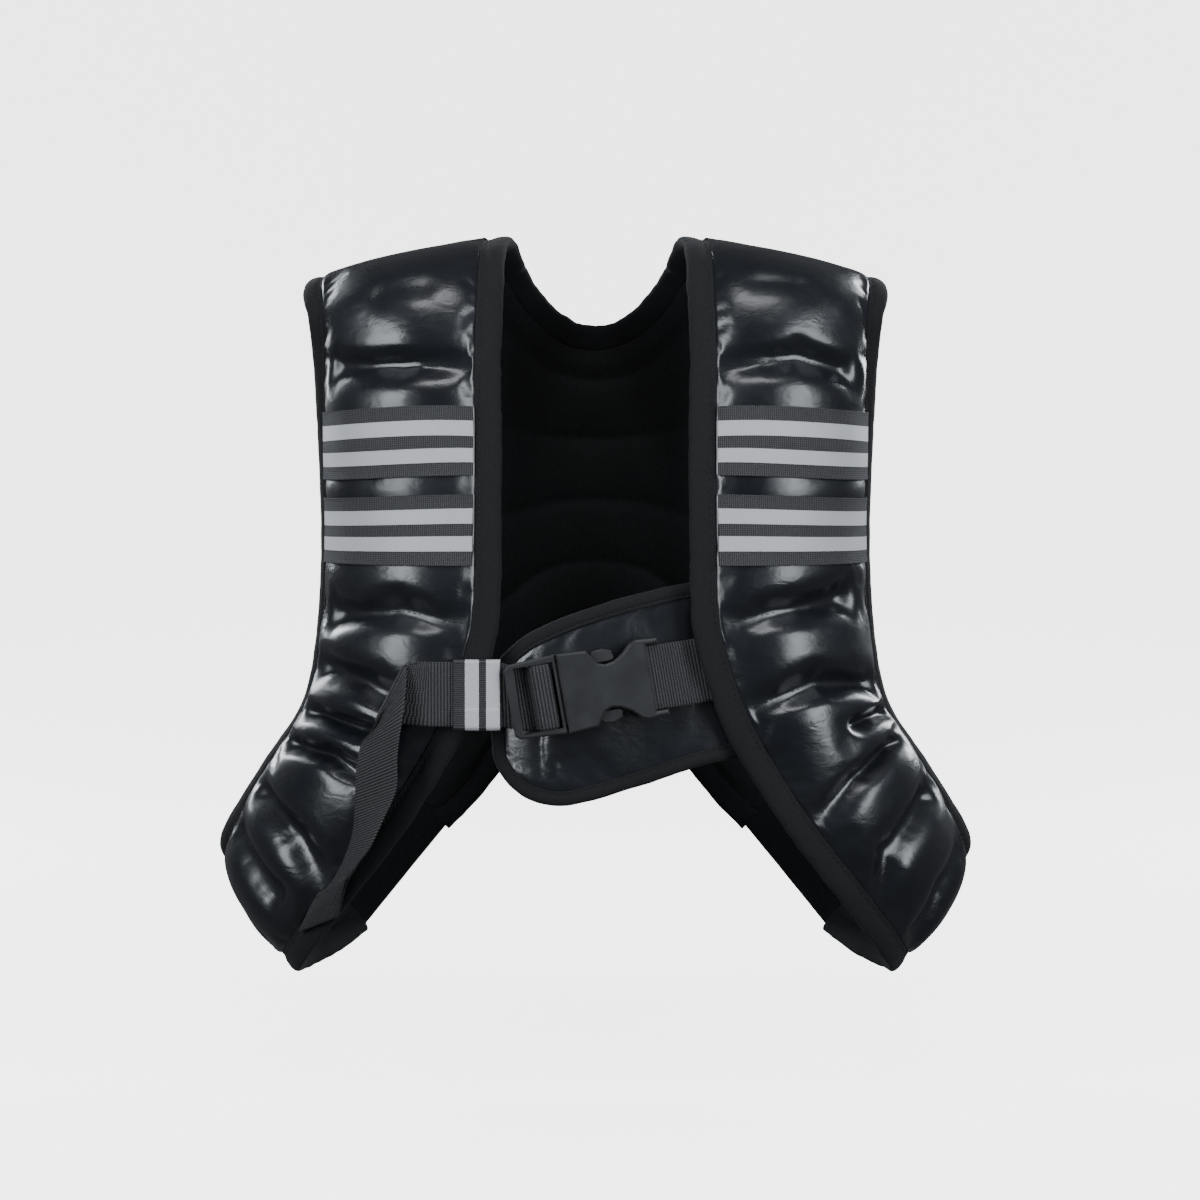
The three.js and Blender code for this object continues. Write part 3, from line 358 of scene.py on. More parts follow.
class Nodes:
    def __init__(self, name, colour, roughness):
        self.material = bpy.data.materials.new(name)
        self.material.use_nodes = True
        self.tree = self.material.node_tree
        self.shader = self.tree.nodes["Principled BSDF"]
        self.set(self.shader, "Base Color", (*colour, 1))
        self.set(self.shader, "Roughness", roughness)

    def set(self, node, name, value):
        node.inputs[name].default_value = value

    def link(self, source, target):
        self.tree.links.new(source, target)

    def add(self, kind, **values):
        node = self.tree.nodes.new(kind)
        for name, value in values.items():
            setattr(node, name, value)
        return node

    def place(self, uv=False, scale=(1, 1, 1)):
        coords = self.add("ShaderNodeTexCoord")
        mapping = self.add("ShaderNodeMapping")
        mapping.inputs["Scale"].default_value = scale
        self.link(coords.outputs["UV" if uv else "Object"], mapping.inputs["Vector"])
        return mapping.outputs["Vector"]

    def fed(self, node, source, values, socket="Vector", result="Fac"):
        for name, value in values.items():
            self.set(node, name, value)
        self.link(source, node.inputs[socket])
        return node.outputs[result]

    def noise(self, where, scale, detail, roughness, distortion=0.0):
        values = {"Scale": scale, "Detail": detail, "Roughness": roughness, "Distortion": distortion}
        return self.fed(self.add("ShaderNodeTexNoise"), where, values)

    def wave(self, where, scale, direction, distortion, detailScale):
        node = self.add("ShaderNodeTexWave", wave_type="BANDS", bands_direction=direction, wave_profile="SIN")
        values = {"Scale": scale, "Distortion": distortion, "Detail Scale": detailScale}
        return self.fed(node, where, values)

    def ramp(self, value, low, high, toLow=0.0, toHigh=1.0):
        values = {"From Min": low, "From Max": high, "To Min": toLow, "To Max": toHigh}
        return self.fed(self.add("ShaderNodeMapRange"), value, values, "Value", "Result")

    def maths(self, kind, a, b=None):
        node = self.add("ShaderNodeMath", operation=kind)
        for socket, value in zip(node.inputs, (a, b)):
            if isinstance(value, (int, float)):
                socket.default_value = value
            elif value is not None:
                self.link(value, socket)
        return node.outputs[0]

    def mixColours(self, share, a, b):
        node = self.add("ShaderNodeMix", data_type="RGBA")
        for socket, value in ((node.inputs[6], a), (node.inputs[7], b)):
            if isinstance(value, tuple):
                socket.default_value = (*value, 1)
            else:
                self.link(value, socket)
        self.link(share, node.inputs[0])
        return node.outputs[2]

    def bump(self, height, strength, distance, before=None):
        node = self.add("ShaderNodeBump")
        self.set(node, "Strength", strength)
        self.set(node, "Distance", distance)
        self.link(height, node.inputs["Height"])
        if before:
            self.link(before, node.inputs["Normal"])
        return node.outputs["Normal"]

    def finish(self, colour=None, roughness=None, normal=None):
        for name, value in (("Base Color", colour), ("Roughness", roughness), ("Normal", normal)):
            if value is not None:
                self.link(value, self.shader.inputs[name])
        return self.material


# Coated cloth: near black with a clear gloss, soft broad dents, short pressed creases and a fine grain.
def coatedCloth():
    n = Nodes("coatedCloth", (0.006, 0.007, 0.009), 0.2)
    where = n.place()
    broad = n.noise(where, scale=26, detail=2, roughness=0.5, distortion=0.4)
    taller = n.place(scale=(1, 1, 1.7))
    creases = n.noise(taller, scale=75, detail=3, roughness=0.5, distortion=1.2)
    grain = n.add("ShaderNodeTexVoronoi", feature="DISTANCE_TO_EDGE")
    n.set(grain, "Scale", 900)
    n.link(where, grain.inputs["Vector"])
    normal = n.bump(broad, strength=0.14, distance=0.004)
    normal = n.bump(n.ramp(creases, 0.35, 0.7), strength=0.16, distance=0.0006, before=normal)
    normal = n.bump(grain.outputs["Distance"], strength=0.08, distance=0.0002, before=normal)
    smears = n.noise(where, scale=14, detail=5, roughness=0.6, distortion=0.8)
    n.set(n.shader, "Specular IOR Level", 0.5)
    colour = n.mixColours(smears, (0.004, 0.005, 0.007), (0.009, 0.01, 0.013))
    return n.finish(colour, n.ramp(smears, 0.3, 0.7, 0.22, 0.38), normal)


# Knitted or foam-backed cloth: fine loops, matt with a little fuzz.
def softCloth(name, colour, loops, strength, roughness, sheen):
    n = Nodes(name, colour, roughness)
    where = n.place()
    fine = n.noise(where, scale=loops, detail=3, roughness=0.6)
    patches = n.noise(where, scale=35, detail=4, roughness=0.6)
    rows = n.wave(n.place(uv=True), scale=loops / 6.5, direction="Y", distortion=1.5, detailScale=2)
    normal = n.bump(n.maths("ADD", fine, n.maths("MULTIPLY", rows, 0.5)), strength, distance=0.0004)
    normal = n.bump(patches, strength=0.25, distance=0.0015, before=normal)
    n.set(n.shader, "Sheen Weight", sheen)
    n.set(n.shader, "Sheen Roughness", 0.5)
    n.set(n.shader, "Specular IOR Level", 0.12)
    light = tuple(1.6 * c for c in colour)
    return n.finish(n.mixColours(n.ramp(fine, 0.35, 0.75), colour, light), None, normal)


# Woven tape: ribs across the tape every pitch metres, fine warp threads along it. u runs along, v across, and
# stripes are pale stretches (from, to) of v. Its colour runs from dark to light with the weave's height, so
# the grooves carry painted shade and the ribs' tops a painted highlight.
def wovenTape(name, dark, light, pitch, stripes=None):
    n = Nodes(name, dark, 0.78)
    where = n.place(uv=True)
    oneWave, warpPitch = 0.314, 0.0011  # a wave texture of scale 1 repeats every 0.314 m
    ribs = n.wave(where, oneWave / pitch, "X", distortion=0.6, detailScale=3)
    warp = n.wave(where, oneWave / warpPitch, "Y", distortion=0.4, detailScale=3)
    weave = n.maths("ADD", n.maths("MULTIPLY", ribs, 0.8), n.maths("MULTIPLY", warp, 0.35))
    fuzz = n.noise(n.place(), scale=700, detail=3, roughness=0.6)
    weave = n.maths("ADD", weave, n.maths("MULTIPLY", fuzz, 0.3))
    # painted shade and highlight: dark in the weave's grooves, light on its ribs' tops, by the weave's height
    colour = n.mixColours(n.ramp(weave, 0.25, 1.1), dark, light)
    roughness = None
    height = weave
    if stripes:
        split = n.add("ShaderNodeSeparateXYZ")
        n.link(where, split.inputs[0])
        across = split.outputs["Y"]
        inside = None
        for low, high in stripes:
            above, below = n.maths("GREATER_THAN", across, low), n.maths("LESS_THAN", across, high)
            one = n.maths("MULTIPLY", above, below)
            inside = one if inside is None else n.maths("MAXIMUM", inside, one)
        fine = n.noise(n.place(), scale=1600, detail=2, roughness=0.7)
        pale = n.mixColours(fine, (0.31, 0.31, 0.325), (0.4, 0.4, 0.415))
        colour = n.mixColours(inside, colour, pale)
        roughness = n.ramp(inside, 0, 1, 0.78, 0.42)
        height = n.maths("ADD", n.maths("MULTIPLY", weave, n.ramp(inside, 0, 1, 1, 0.18)),
                         n.maths("MULTIPLY", inside, 0.9))
    n.set(n.shader, "Specular IOR Level", 0.15)
    return n.finish(colour, roughness, n.bump(height, strength=0.8, distance=0.0005))


# Moulded plastic: satin, with a fine spark-eroded grain and slight flow marks.
def mouldedPlastic():
    n = Nodes("mouldedPlastic", (0.018, 0.018, 0.02), 0.42)
    where = n.place()
    grain = n.noise(where, scale=2200, detail=2, roughness=0.6)
    flow = n.noise(where, scale=60, detail=3, roughness=0.5)
    normal = n.bump(grain, strength=0.18, distance=0.00012)
    colour = n.mixColours(flow, (0.014, 0.0145, 0.016), (0.023, 0.0235, 0.0255))
    return n.finish(colour, n.ramp(flow, 0.3, 0.7, 0.32, 0.44), normal)


coated = coatedCloth()
liningCloth, edgingCloth, stretchCloth, threadCloth = (
    softCloth(name, colour, loops=loops, strength=strength, roughness=roughness, sheen=sheen)
    for name, colour, loops, strength, roughness, sheen in (
        ("liningCloth", (0.008, 0.0083, 0.0087), 900, 0.2, 0.75, 0.04),
        ("edgingCloth", (0.008, 0.0083, 0.009), 1400, 0.35, 0.85, 0.03),
        ("stretchCloth", (0.006, 0.0062, 0.0066), 1100, 0.3, 0.9, 0.02),
        ("threadCloth", (0.012, 0.012, 0.013), 3000, 0.3, 0.6, 0.02)))
# the second colour is the painted highlight on the ribs' tops
webbingCloth = wovenTape("webbingCloth", (0.006, 0.006, 0.0065), (0.05, 0.05, 0.053), pitch=0.0019)
plastic = mouldedPlastic()
say("materials made")


# Pads: a quilted panel's face is cloth, held at its edge seams and stitched lines and blown out from inside
padLimits = {
    "sideLimit": 0.004, "softStop": 0.0015, "lowest": 0.0022, "hair": 0.00001, "clear": 0.0002,
    "faint": 0.3, "seamSlack": 0.85, "spring": 0.0008,
}


# The sheet's place after a cloth run: it is cut a little too large, held where it is stitched, and pressed
# outwards, so that it buckles into the creases that a filled panel has. Heights stay between low and high,
# with a soft stop over the last stretch, and sideways moves stay within sideLimit.
def puff(name, base, normal, start, held, low, high, spec):
    rows, columns = base.shape[:2]
    points = base + normal * start[..., None]
    faces = gridFaces(rows, columns)
    if np.dot(middleCross(points), normal[rows // 2, columns // 2]) < 0:
        faces = faces[:, ::-1]
    sheet = meshObject(name + "Cloth", points.reshape(-1, 3), faces)
    pins = sheet.vertex_groups.new(name="pins")
    for weight in np.unique(held[held > 0]):
        pins.add(np.flatnonzero(held.ravel() == weight).tolist(), float(weight), "REPLACE")
    cloth = sheet.modifiers.new("cloth", "CLOTH").settings
    cloth.quality = spec["quality"]
    cloth.mass = 0.25
    cloth.tension_stiffness = cloth.compression_stiffness = spec["stiffness"]
    cloth.shear_stiffness = spec["stiffness"] * 0.5
    cloth.bending_stiffness = spec["bending"]
    cloth.tension_damping = cloth.compression_damping = 12
    cloth.air_damping = 4
    cloth.vertex_group_mass = "pins"
    cloth.pin_stiffness = 4
    cloth.shrink_min = cloth.shrink_max = -spec["spare"]
    cloth.use_pressure = True
    cloth.uniform_pressure_force = spec["pressure"]
    cloth.effector_weights.gravity = 0
    sheet.modifiers["cloth"].collision_settings.use_collision = False
    sheet.modifiers["cloth"].point_cache.frame_end = spec["frames"]
    scene.frame_start, scene.frame_end = 1, spec["frames"]
    for number in range(1, spec["frames"] + 1):
        scene.frame_set(number)
    done = sheet.evaluated_get(bpy.context.evaluated_depsgraph_get()).data
    made = np.empty(len(done.vertices) * 3)
    done.vertices.foreach_get("co", made)
    made = made.reshape(rows, columns, 3)
    bpy.data.objects.remove(sheet)
    scene.frame_set(1)
    move = made - base
    height = (move * normal).sum(-1)
    aside = move - normal * height[..., None]
    reach = norm(aside)
    aside *= np.minimum(1, padLimits["sideLimit"] / np.maximum(reach, 1e-9))
    soft = padLimits["softStop"]
    height = np.where(height > high - soft, high - soft * np.exp(-(height - high + soft) / soft), height)
    height = np.maximum(height, low)
    lowest, highest, furthest = (1000 * v for v in (height.min(), height.max(), reach.max()))
    print(f"{name}: heights {lowest:.1f} to {highest:.1f} mm, aside {furthest:.1f} mm")
    return base + aside + normal * height[..., None]


# Distance from each (u, v) place to a broken line, in metres: the least over its straight stretches.
def lineDistance(places, line):
    best = np.full(places.shape[:-1], 9.0)
    for a, b in zip(line[:-1], line[1:]):
        run = b - a
        share = np.clip(((places - a) @ run) / max(run @ run, 1e-12), 0, 1)
        best = np.minimum(best, norm(places - (a + share[..., None] * run))[..., 0])
    return best


# Stitches on a surface path: short rounded threads, each from one hole to the next, sunk at both ends.
def stitchMesh(name, paths, thread, length, gap):
    pieces, faces, count = [], [], 0
    sides, stations = 6, 6
    angle = np.linspace(0, 2 * math.pi, sides, endpoint=False)
    for path, out in paths:
        run = runOf(path)
        for start in np.arange(gap, run[-1] - length, length + gap):
            t = np.linspace(start, start + length, stations)
            centre, up = alongRun(t, run, path), alongRun(t, run, out)
            rise = np.sin(np.linspace(0, math.pi, stations)) ** 0.6
            centre = centre + up * (rise * thread * 0.9 - thread * 0.35)[:, None]
            ahead = unitOf(np.gradient(centre, axis=0))
            wide = unitOf(np.cross(ahead, up))
            lift = np.cross(wide, ahead)
            radius = thread / 2 * (0.55 + 0.45 * rise)[:, None, None]
            turned = np.cos(angle)[:, None] * wide[:, None] + np.sin(angle)[:, None] * lift[:, None]
            pieces.append((centre[:, None] + radius * turned).reshape(-1, 3))
            faces += gridFaces(stations, sides, count, closed=True).tolist()
            cap = [count + i for i in range(sides)]
            faces += [cap[::-1], [i + (stations - 1) * sides for i in cap]]
            count += stations * sides
    return meshObject(name, np.vstack(pieces), faces, None, threadCloth)


# Front panels: their stitched lines, as (row, across) places from the armhole's edge at -1 to the inner edge
# at 1. The lines before the row faintBefore are only pressed in, not stitched through.
frontSpec = {
    "rows": 190, "columns": 38, "rowLength": 0.044, "halfWidth": 0.056, "pressed": 0.0045, "reach": 0.0075,
    "stitched": 0.0021, "tight": 0.004, "fullness": 0.0055, "faintBefore": 4.5 * 0.044, "crowding": 1.35,
    "fullest": 0.0028, "bandReach": 0.52, "bandFade": 0.12, "underBand": 0.0003, "hidden": 0.3,
    "puff": {"quality": 6, "stiffness": 30, "bending": 5, "spare": 0.014, "pressure": 6, "frames": 22},
    "seams": {
        "right": [
            [(4, -0.1), (4, 0.4)], [(5.05, -0.65), (5.1, 0.2), (5.1, 0.85)],
            [(5.97, -0.8), (5.97, 0.85)], [(6.98, -0.8), (6.98, 0.85)],
            [(8, -0.5), (7.9, 0.3), (8, 0.94)], [(8.7, -0.55), (8.8, 0.07), (8.9, 0.4)],
            [(9.6, -0.5), (9.6, 0.3)], [(10.5, -0.55), (10.3, 0.07), (10.4, 0.5)],
            [(11.6, -0.6), (11.6, 0.28), (11.8, 0.85)], [(12.4, -0.75), (12.4, -0.07), (12.4, 0.5)],
            [(13.5, -0.6), (13.4, 0.6)], [(15, -0.6), (15, 0.6)],
        ],
        "left": [
            [(3.9, 0), (3.9, 0.5)], [(5.1, -0.5), (5, 0.1), (5.1, 0.9)],
            [(5.97, -0.8), (5.97, 0.85)], [(6.98, -0.8), (6.98, 0.85)],
            [(7.8, -0.35), (7.9, 0.42), (8, 0.94)], [(8.9, -0.5), (8.8, 0.2), (8.9, 0.63), (9, 0.94)],
            [(9.65, -0.7), (9.65, -0.1)], [(10.45, -0.45), (10.65, 0.3), (10.95, 0.92)],
            [(11.6, -0.5), (11.7, 0.49), (12.1, 0.93)], [(12.7, -0.75), (12.7, 0.07), (12.9, 0.8)],
            [(13.7, -0.6), (13.7, 0.6)], [(15, -0.6), (15, 0.6)],
        ],
    },
}
bandRows = {"shoulder": 0.95, "upper": 5.97, "lower": 6.98}


# Sets a grid's border all round.
def holdBorder(grid, value=1):
    grid[0] = grid[-1] = grid[:, 0] = grid[:, -1] = value


# Padded face with its stitched lines: it starts from the filled height, dipped at each line by a bell of the
# distance to it, and may rise by its fullness away from the lines.
def quiltedFace(name, base, normal, filled, places, lines, spec, ceiling):
    start, held = filled.copy(), np.zeros(filled.shape)
    for line in lines:
        far = lineDistance(places, np.array(line))
        faint = line[0][0] < spec.get("faintBefore", 0)
        dip = np.exp(-(far / spec["reach"]) ** 2) * (padLimits["faint"] if faint else 1)
        start = start - (start - spec["pressed"]).clip(0) * dip
        held[far < spec["stitched"]] = 0 if faint else 1
    holdBorder(held)
    near = sum(np.exp(-(lineDistance(places, np.array(line)) / spec["tight"]) ** 2) for line in lines)
    slack = 1 - padLimits["seamSlack"] * np.clip(near, 0, 1)
    hair = padLimits["hair"]
    puffed = np.minimum(ceiling, start + (spec["fullness"] * slack + padLimits["spring"]))
    high = np.where(held > 0, start + hair, puffed)
    holdBorder(high, size["padEdge"] + hair)
    return puff(name, base, normal, start, held, np.minimum(start, padLimits["lowest"]), high, spec["puff"])


# A field on the grid read between its points, evenly mixed from the four around each (row, column).
def sample(field, row, column):
    r = np.clip(np.floor(row).astype(int), 0, field.shape[0] - 2)
    c = np.clip(np.floor(column).astype(int), 0, field.shape[1] - 2)
    down, over = (row - r)[:, None], (column - c)[:, None]
    near = field[r, c] * (1 - over) + field[r, c + 1] * over
    far = field[r + 1, c] * (1 - over) + field[r + 1, c + 1] * over
    return near * (1 - down) + far * down


pathsByPanel = []


# One front panel: the strip with its filling on it, and the paths of its stitches.
def frontPanel(side):
    spec = frontSpec
    crowding = spec["crowding"]  # the columns lie closer towards both edges
    rows = np.linspace(0, 16, spec["rows"])
    across = np.sin(np.linspace(-1, 1, spec["columns"]) * crowding) / math.sin(crowding)
    base, normal = stripGrid(frontTable, rows, across)
    r, a = np.meshgrid(rows, across, indexing="ij")
    filled = padHeight(r, a)
    places = np.stack([r * spec["rowLength"], a * spec["halfWidth"]], -1)
    lines = [np.array(line) * [spec["rowLength"], spec["halfWidth"]] for line in spec["seams"][side]]
    ceiling = filled + spec["fullest"]
    for middle in bandRows.values():
        under = np.clip((spec["bandReach"] - np.abs(r - middle)) / spec["bandFade"], 0, 1)
        ceiling = ceiling * (1 - under) + (filled + spec["underBand"]) * under
    face = quiltedFace(f"frontPanel_{side}", base, normal, filled, places, lines, spec, ceiling)
    back = base + normal * padLimits["clear"]
    if side == "right":
        face, back, normal = flipX(face), flipX(back), flipX(normal)
    for line in spec["seams"][side]:
        points = np.array(line)
        t = np.linspace(0, len(points) - 1, 60)
        place = alongRun(t, np.arange(len(points)), points)
        if min(abs(place[0, 0] - middle) for middle in bandRows.values()) < spec["hidden"]:
            continue  # a band hides it
        row = np.interp(place[:, 0], rows, np.arange(len(rows)))
        column = np.interp(place[:, 1], across, np.arange(len(across)))
        pathsByPanel.append((sample(face, row, column), sample(normal, row, column)))
    slabPiece(f"frontPanel_{side}", f"front_panel_{side}", face, back, coated)


for side in ("right", "left"):
    frontPanel(side)
    say(f"front panel {side}")


# Back panel, quilted from side to side
backSpec = {
    "rows": 96, "columns": 90, "length": 0.27, "halfWidth": 0.14, "seams": [0.095, 0.27, 0.445, 0.62, 0.795],
    "pressed": 0.005, "reach": 0.0075, "stitched": 0.0021, "tight": 0.004, "fullness": 0.0055,
    "fullest": 0.0025, "loft": 0.9, "thinEnd": 0.07,
    "puff": {"quality": 6, "stiffness": 30, "bending": 5, "spare": 0.014, "pressure": 6, "frames": 20},
}


# The back: the filling is flat across between its seams and thins out towards the neck and the hem.
def backPanel():
    spec = backSpec
    downs, sides = np.linspace(0, 1, spec["rows"]), np.linspace(-1, 1, spec["columns"])
    base, normal = backGrid(downs, sides)
    d, s = np.meshgrid(downs, sides, indexing="ij")
    nearEnd = np.clip(np.minimum(d, 1 - d) / spec["thinEnd"], 0, 1) ** 0.6
    filled = size["padEdge"] + size["padLoft"] * spec["loft"] * nearEnd * domeAt(s)
    flat = np.array([spec["length"], spec["halfWidth"]])
    places = np.stack([d, s], -1) * flat
    lines = [np.array([(down, -0.9), (down, 0.9)]) * flat for down in spec["seams"]]
    face = quiltedFace("backPanel", base, normal, filled, places, lines, spec, filled + spec["fullest"])
    for down in spec["seams"]:
        row = int(round(down * (spec["rows"] - 1)))
        pathsByPanel.append((face[row, 5:-5], normal[row, 5:-5]))
    slabPiece("backPanel", "back_panel", face, base + normal * padLimits["clear"], coated)


backPanel()
stitches = stitchMesh("quiltStitches", pathsByPanel, thread=0.00055, length=0.0026, gap=0.0011)
settle(stitches, None)
say("back panel and stitches")


# Linings: soft sheets behind the panels, drawn in at the quilting seams and a little full between them, by
# cell and by loose waves (height, length). backMarks bound the back's cells.
liningSpec = {
    "front": {"cell": 0.0008, "loose": (0.0006, 0.06), "seed": 3},
    "back": {"cell": 0.0034, "loose": (0.0005, 0.05), "seed": 5, "round": 0.45, "thinEnd": 0.05},
}
backMarks = np.array([-0.4, *backSpec["seams"], 1.1])


# Fullness from the cells' own share (0 at a seam, 1 between seams) at each place across.
def liningFullness(kind, cells, across, base):
    spec = liningSpec[kind]
    height, length = spec["loose"]
    return domeAt(across) * (spec["cell"] * cells + height * (1 + waves(base, length, spec["seed"])))


def lining(name, node, base, normal, fullness, mirror=False):
    front = base - normal * size["gap"]
    rear = base - normal * (size["gap"] + size["lining"] + fullness)[..., None]
    slabPiece(name, node, front, rear, liningCloth, mirror=mirror)


rows, across = np.linspace(0, 16, 130), np.linspace(-1, 1, 24)
base, normal = stripGrid(frontTable, rows, across)
r, a = np.meshgrid(rows, across, indexing="ij")
fullness = liningFullness("front", np.abs(np.sin(np.pi * r)), a, base)
lining("liningFront_left", "lining_front_left", base, normal, fullness)
lining("liningFront_right", "lining_front_right", base, normal, fullness, True)
downs, sides = np.linspace(0, 1, 110), np.linspace(-1, 1, 80)
base, normal = backGrid(downs, sides)
d, s = np.meshgrid(downs, sides, indexing="ij")
cell = np.clip(np.searchsorted(backMarks, d) - 1, 0, len(backMarks) - 2)
inCell = (d - backMarks[cell]) / (backMarks[cell + 1] - backMarks[cell])
nearEnd = np.clip(np.minimum(d, 1 - d) / liningSpec["back"]["thinEnd"], 0, 1)
cells = np.abs(np.sin(np.pi * inCell)) ** liningSpec["back"]["round"] * nearEnd
fullness = liningFullness("back", cells, s, base)
lining("liningBack", "lining_back", base, normal, fullness)
say("linings")


# Edge tape: round the edge with a stitched groove beside the panel. (far, up) go out from the seam and along
# the panel's normal, as shares of the tape's width and thickness.
tapeSection = np.array([
    (0, -0.4), (0.05, -0.49), (0.3, -0.5), (0.6, -0.49), (0.84, -0.4), (0.96, -0.2), (1, 0), (0.96, 0.2),
    (0.84, 0.4), (0.64, 0.49), (0.42, 0.5), (0.3, 0.46), (0.21, 0.36), (0.13, 0.43), (0.04, 0.45), (0, 0.3),
])


# Running mean of vectors along a path, joined at the ends where it is closed.
def smoothed(v, half, closed):
    before, after = (v[-half:], v[:half]) if closed else (v[:1].repeat(half, 0), v[-1:].repeat(half, 0))
    pad = np.concatenate([before, v, after])
    kernel = np.ones(2 * half + 1) / (2 * half + 1)
    return np.stack([np.convolve(pad[:, i], kernel, "valid") for i in range(3)], -1)


tapePaths = []
tapeDetail = {
    "step": 0.0024, "brace": 0.0003, "grooveFar": 0.21, "grooveUp": 0.37,
    "broad": (0.018, 0.024), "narrow": (0.012, 0.007), "plump": (0.04, 0.02),
}


# Tape along an edge: the section set at each place of the path by its way out and its normal, with a slight
# pucker made of waves (share, length); a pair is made on both sides of the body.
def edgeTape(name, node, path, normals, outs, spec):
    if "beyond" in spec:  # both ends run on a little, into the next piece
        first = path[:1] + unitOf(path[:1] - path[1:2]) * spec["beyond"]
        last = path[-1:] + unitOf(path[-1:] - path[-2:-1]) * spec["beyond"]
        path = np.vstack([first, path, last])
        normals, outs = (np.vstack([v[:1], v, v[-1:]]) for v in (normals, outs))
    keep = np.concatenate([[True], norm(np.diff(path, axis=0))[:, 0] > 1e-5])
    path, normals, outs = path[keep], normals[keep], outs[keep]
    run = runOf(path)
    closed = spec.get("closed", False)
    t = np.linspace(0, run[-1], int(run[-1] / tapeDetail["step"]), endpoint=not closed)
    if not closed:  # close rings keep the ends square
        brace = tapeDetail["brace"]
        t = np.concatenate([[0, brace], t[1:-1], [run[-1] - brace, run[-1]]])
    path, normals, outs = (alongRun(t, run, v) for v in (path, normals, outs))
    turn = spec.get("smooth", 4)
    normals, outs = smoothed(normals, turn, closed), smoothed(outs, turn, closed)
    normals = unitOf(normals)
    outs = unitOf(outs - normals * (outs * normals).sum(-1, keepdims=True))
    broad, narrow, plump = (
        share * waves(path, length, spec["seed"] + number)
        for number, (share, length) in enumerate(tapeDetail[kind] for kind in ("broad", "narrow", "plump")))
    far = spec["gap"] + tapeSection[None, :, 0] * spec["width"] * (1 + broad + narrow)[:, None]
    up = spec["middle"] + tapeSection[None, :, 1] * spec["thick"] * (1 + plump)[:, None]
    rings = path[:, None] + outs[:, None] * far[..., None] + normals[:, None] * up[..., None]
    groove = path + outs * (spec["gap"] + tapeDetail["grooveFar"] * spec["width"])
    groove = groove + normals * (spec["middle"] + tapeDetail["grooveUp"] * spec["thick"])
    for mirror in ((False, True) if spec.get("pair") else (False,)):
        side = ("_right" if mirror else "_left") if spec.get("pair") else ""
        obj = tubeObject(name + side, flipX(rings) if mirror else rings, edgingCloth, closed)
        settle(subdivide(obj), node + side)
        tapePaths.append((flipX(groove) if mirror else groove, flipX(normals) if mirror else normals))


# An edge's way out: square to its own run and its normal, on the side that hint shows.
def outwards(path, normals, hint):
    out = unitOf(np.cross(np.gradient(path, axis=0), normals))
    return np.where((out * hint).sum(-1, keepdims=True) < 0, -out, out)


# A strip's edge at -1 or 1: its points, normals and ways out.
def stripEdge(table, rows, edge):
    points, normals = stripGrid(table, rows, np.array([edge * 0.96, edge]))
    return points[:, 1], normals[:, 1], outwards(points[:, 1], normals[:, 1], points[:, 1] - points[:, 0])


# The same for an edge of the back; inward is a small step (down, side) away from that edge.
def backEdge(downs, sides, inward):
    points, normals = backGrid(downs, sides)
    near, _ = backGrid(downs + inward[0], sides + inward[1])
    path, look = points.reshape(-1, 3), normals.reshape(-1, 3)
    return path, look, outwards(path, look, path - near.reshape(-1, 3))


middle = (size["padEdge"] - size["gap"] - size["lining"]) / 2
fullTape = {"gap": -0.0009, "thick": size["tape"], "middle": middle}
front = stripEdge(frontTable, np.linspace(16, 0, 420), 1)
back = backEdge(np.array([0.0]), np.linspace(0.5, 0, 60), (0.02, 0))
half = [np.vstack([f, b[1:]]) for f, b in zip(front, back)]
whole = [np.vstack([h, flipX(h[-2::-1])]) for h in half]
edgeTape("neckTape", "neck_edging", *whole, {**fullTape, "width": size["neckTape"], "seed": 11})
hem = backEdge(np.array([1.0]), np.linspace(0.5, -0.5, 130), (-0.02, 0))
edgeTape("hemTape", "hem_edging", *hem,
         {**fullTape, "width": size["neckTape"], "seed": 17, "beyond": 0.0035})
sideTable = np.array([[*frontTable[-1, :6], 0, 0], sideMiddle, wingEnd])
front = stripEdge(frontTable, np.linspace(0, 16, 420), -1)
side = stripEdge(sideTable, np.linspace(0, 2, 50), -1)
back = backEdge(np.linspace(1, 0, 140), np.array([1.0]), (0, -0.02))
loop = [np.vstack([f, s[1:], b[1:]]) for f, s, b in zip(front, side, back)]
edgeTape("armholeTape", "armhole_edging", *loop,
         {**fullTape, "width": size["armTape"], "seed": 23, "closed": True, "pair": True})
say("edge tapes")


# Side panels: stretch cloth between the front's end and the back's wing, reaching over into the lower edge by
# below, tucked in under the wing's end and faintly rippled.
sideSpec = {"below": size["neckTape"] - 0.005, "tuck": 0.002, "ripple": 0.0006, "rippleLength": 0.03}


def sidePanel(side):
    rows, across = np.linspace(0, 2, 36), np.linspace(-1, 1, 22)
    points, normals = stripGrid(sideTable, rows, across)
    beyond = points[:, -1] + unitOf(points[:, -1] - points[:, -2]) * sideSpec["below"]
    points = np.concatenate([points, beyond[:, None]], 1)
    normals = np.concatenate([normals, normals[:, -1:]], 1)
    tuck = points[-1:] + unitOf(points[-1:] - points[-2:-1]) * sideSpec["tuck"]
    points, normals = np.concatenate([points, tuck]), np.concatenate([normals, normals[-1:]])
    ripple = sideSpec["ripple"] * waves(points, sideSpec["rippleLength"], 31)[..., None] * normals
    front = points + normals * size["stretch"] / 2 + ripple
    rear = points - normals * size["stretch"] / 2 + ripple
    slabPiece(f"sidePanel_{side}", f"side_panel_{side}", front, rear, stretchCloth,
              mirror=side == "right")


sidePanel("left")
sidePanel("right")


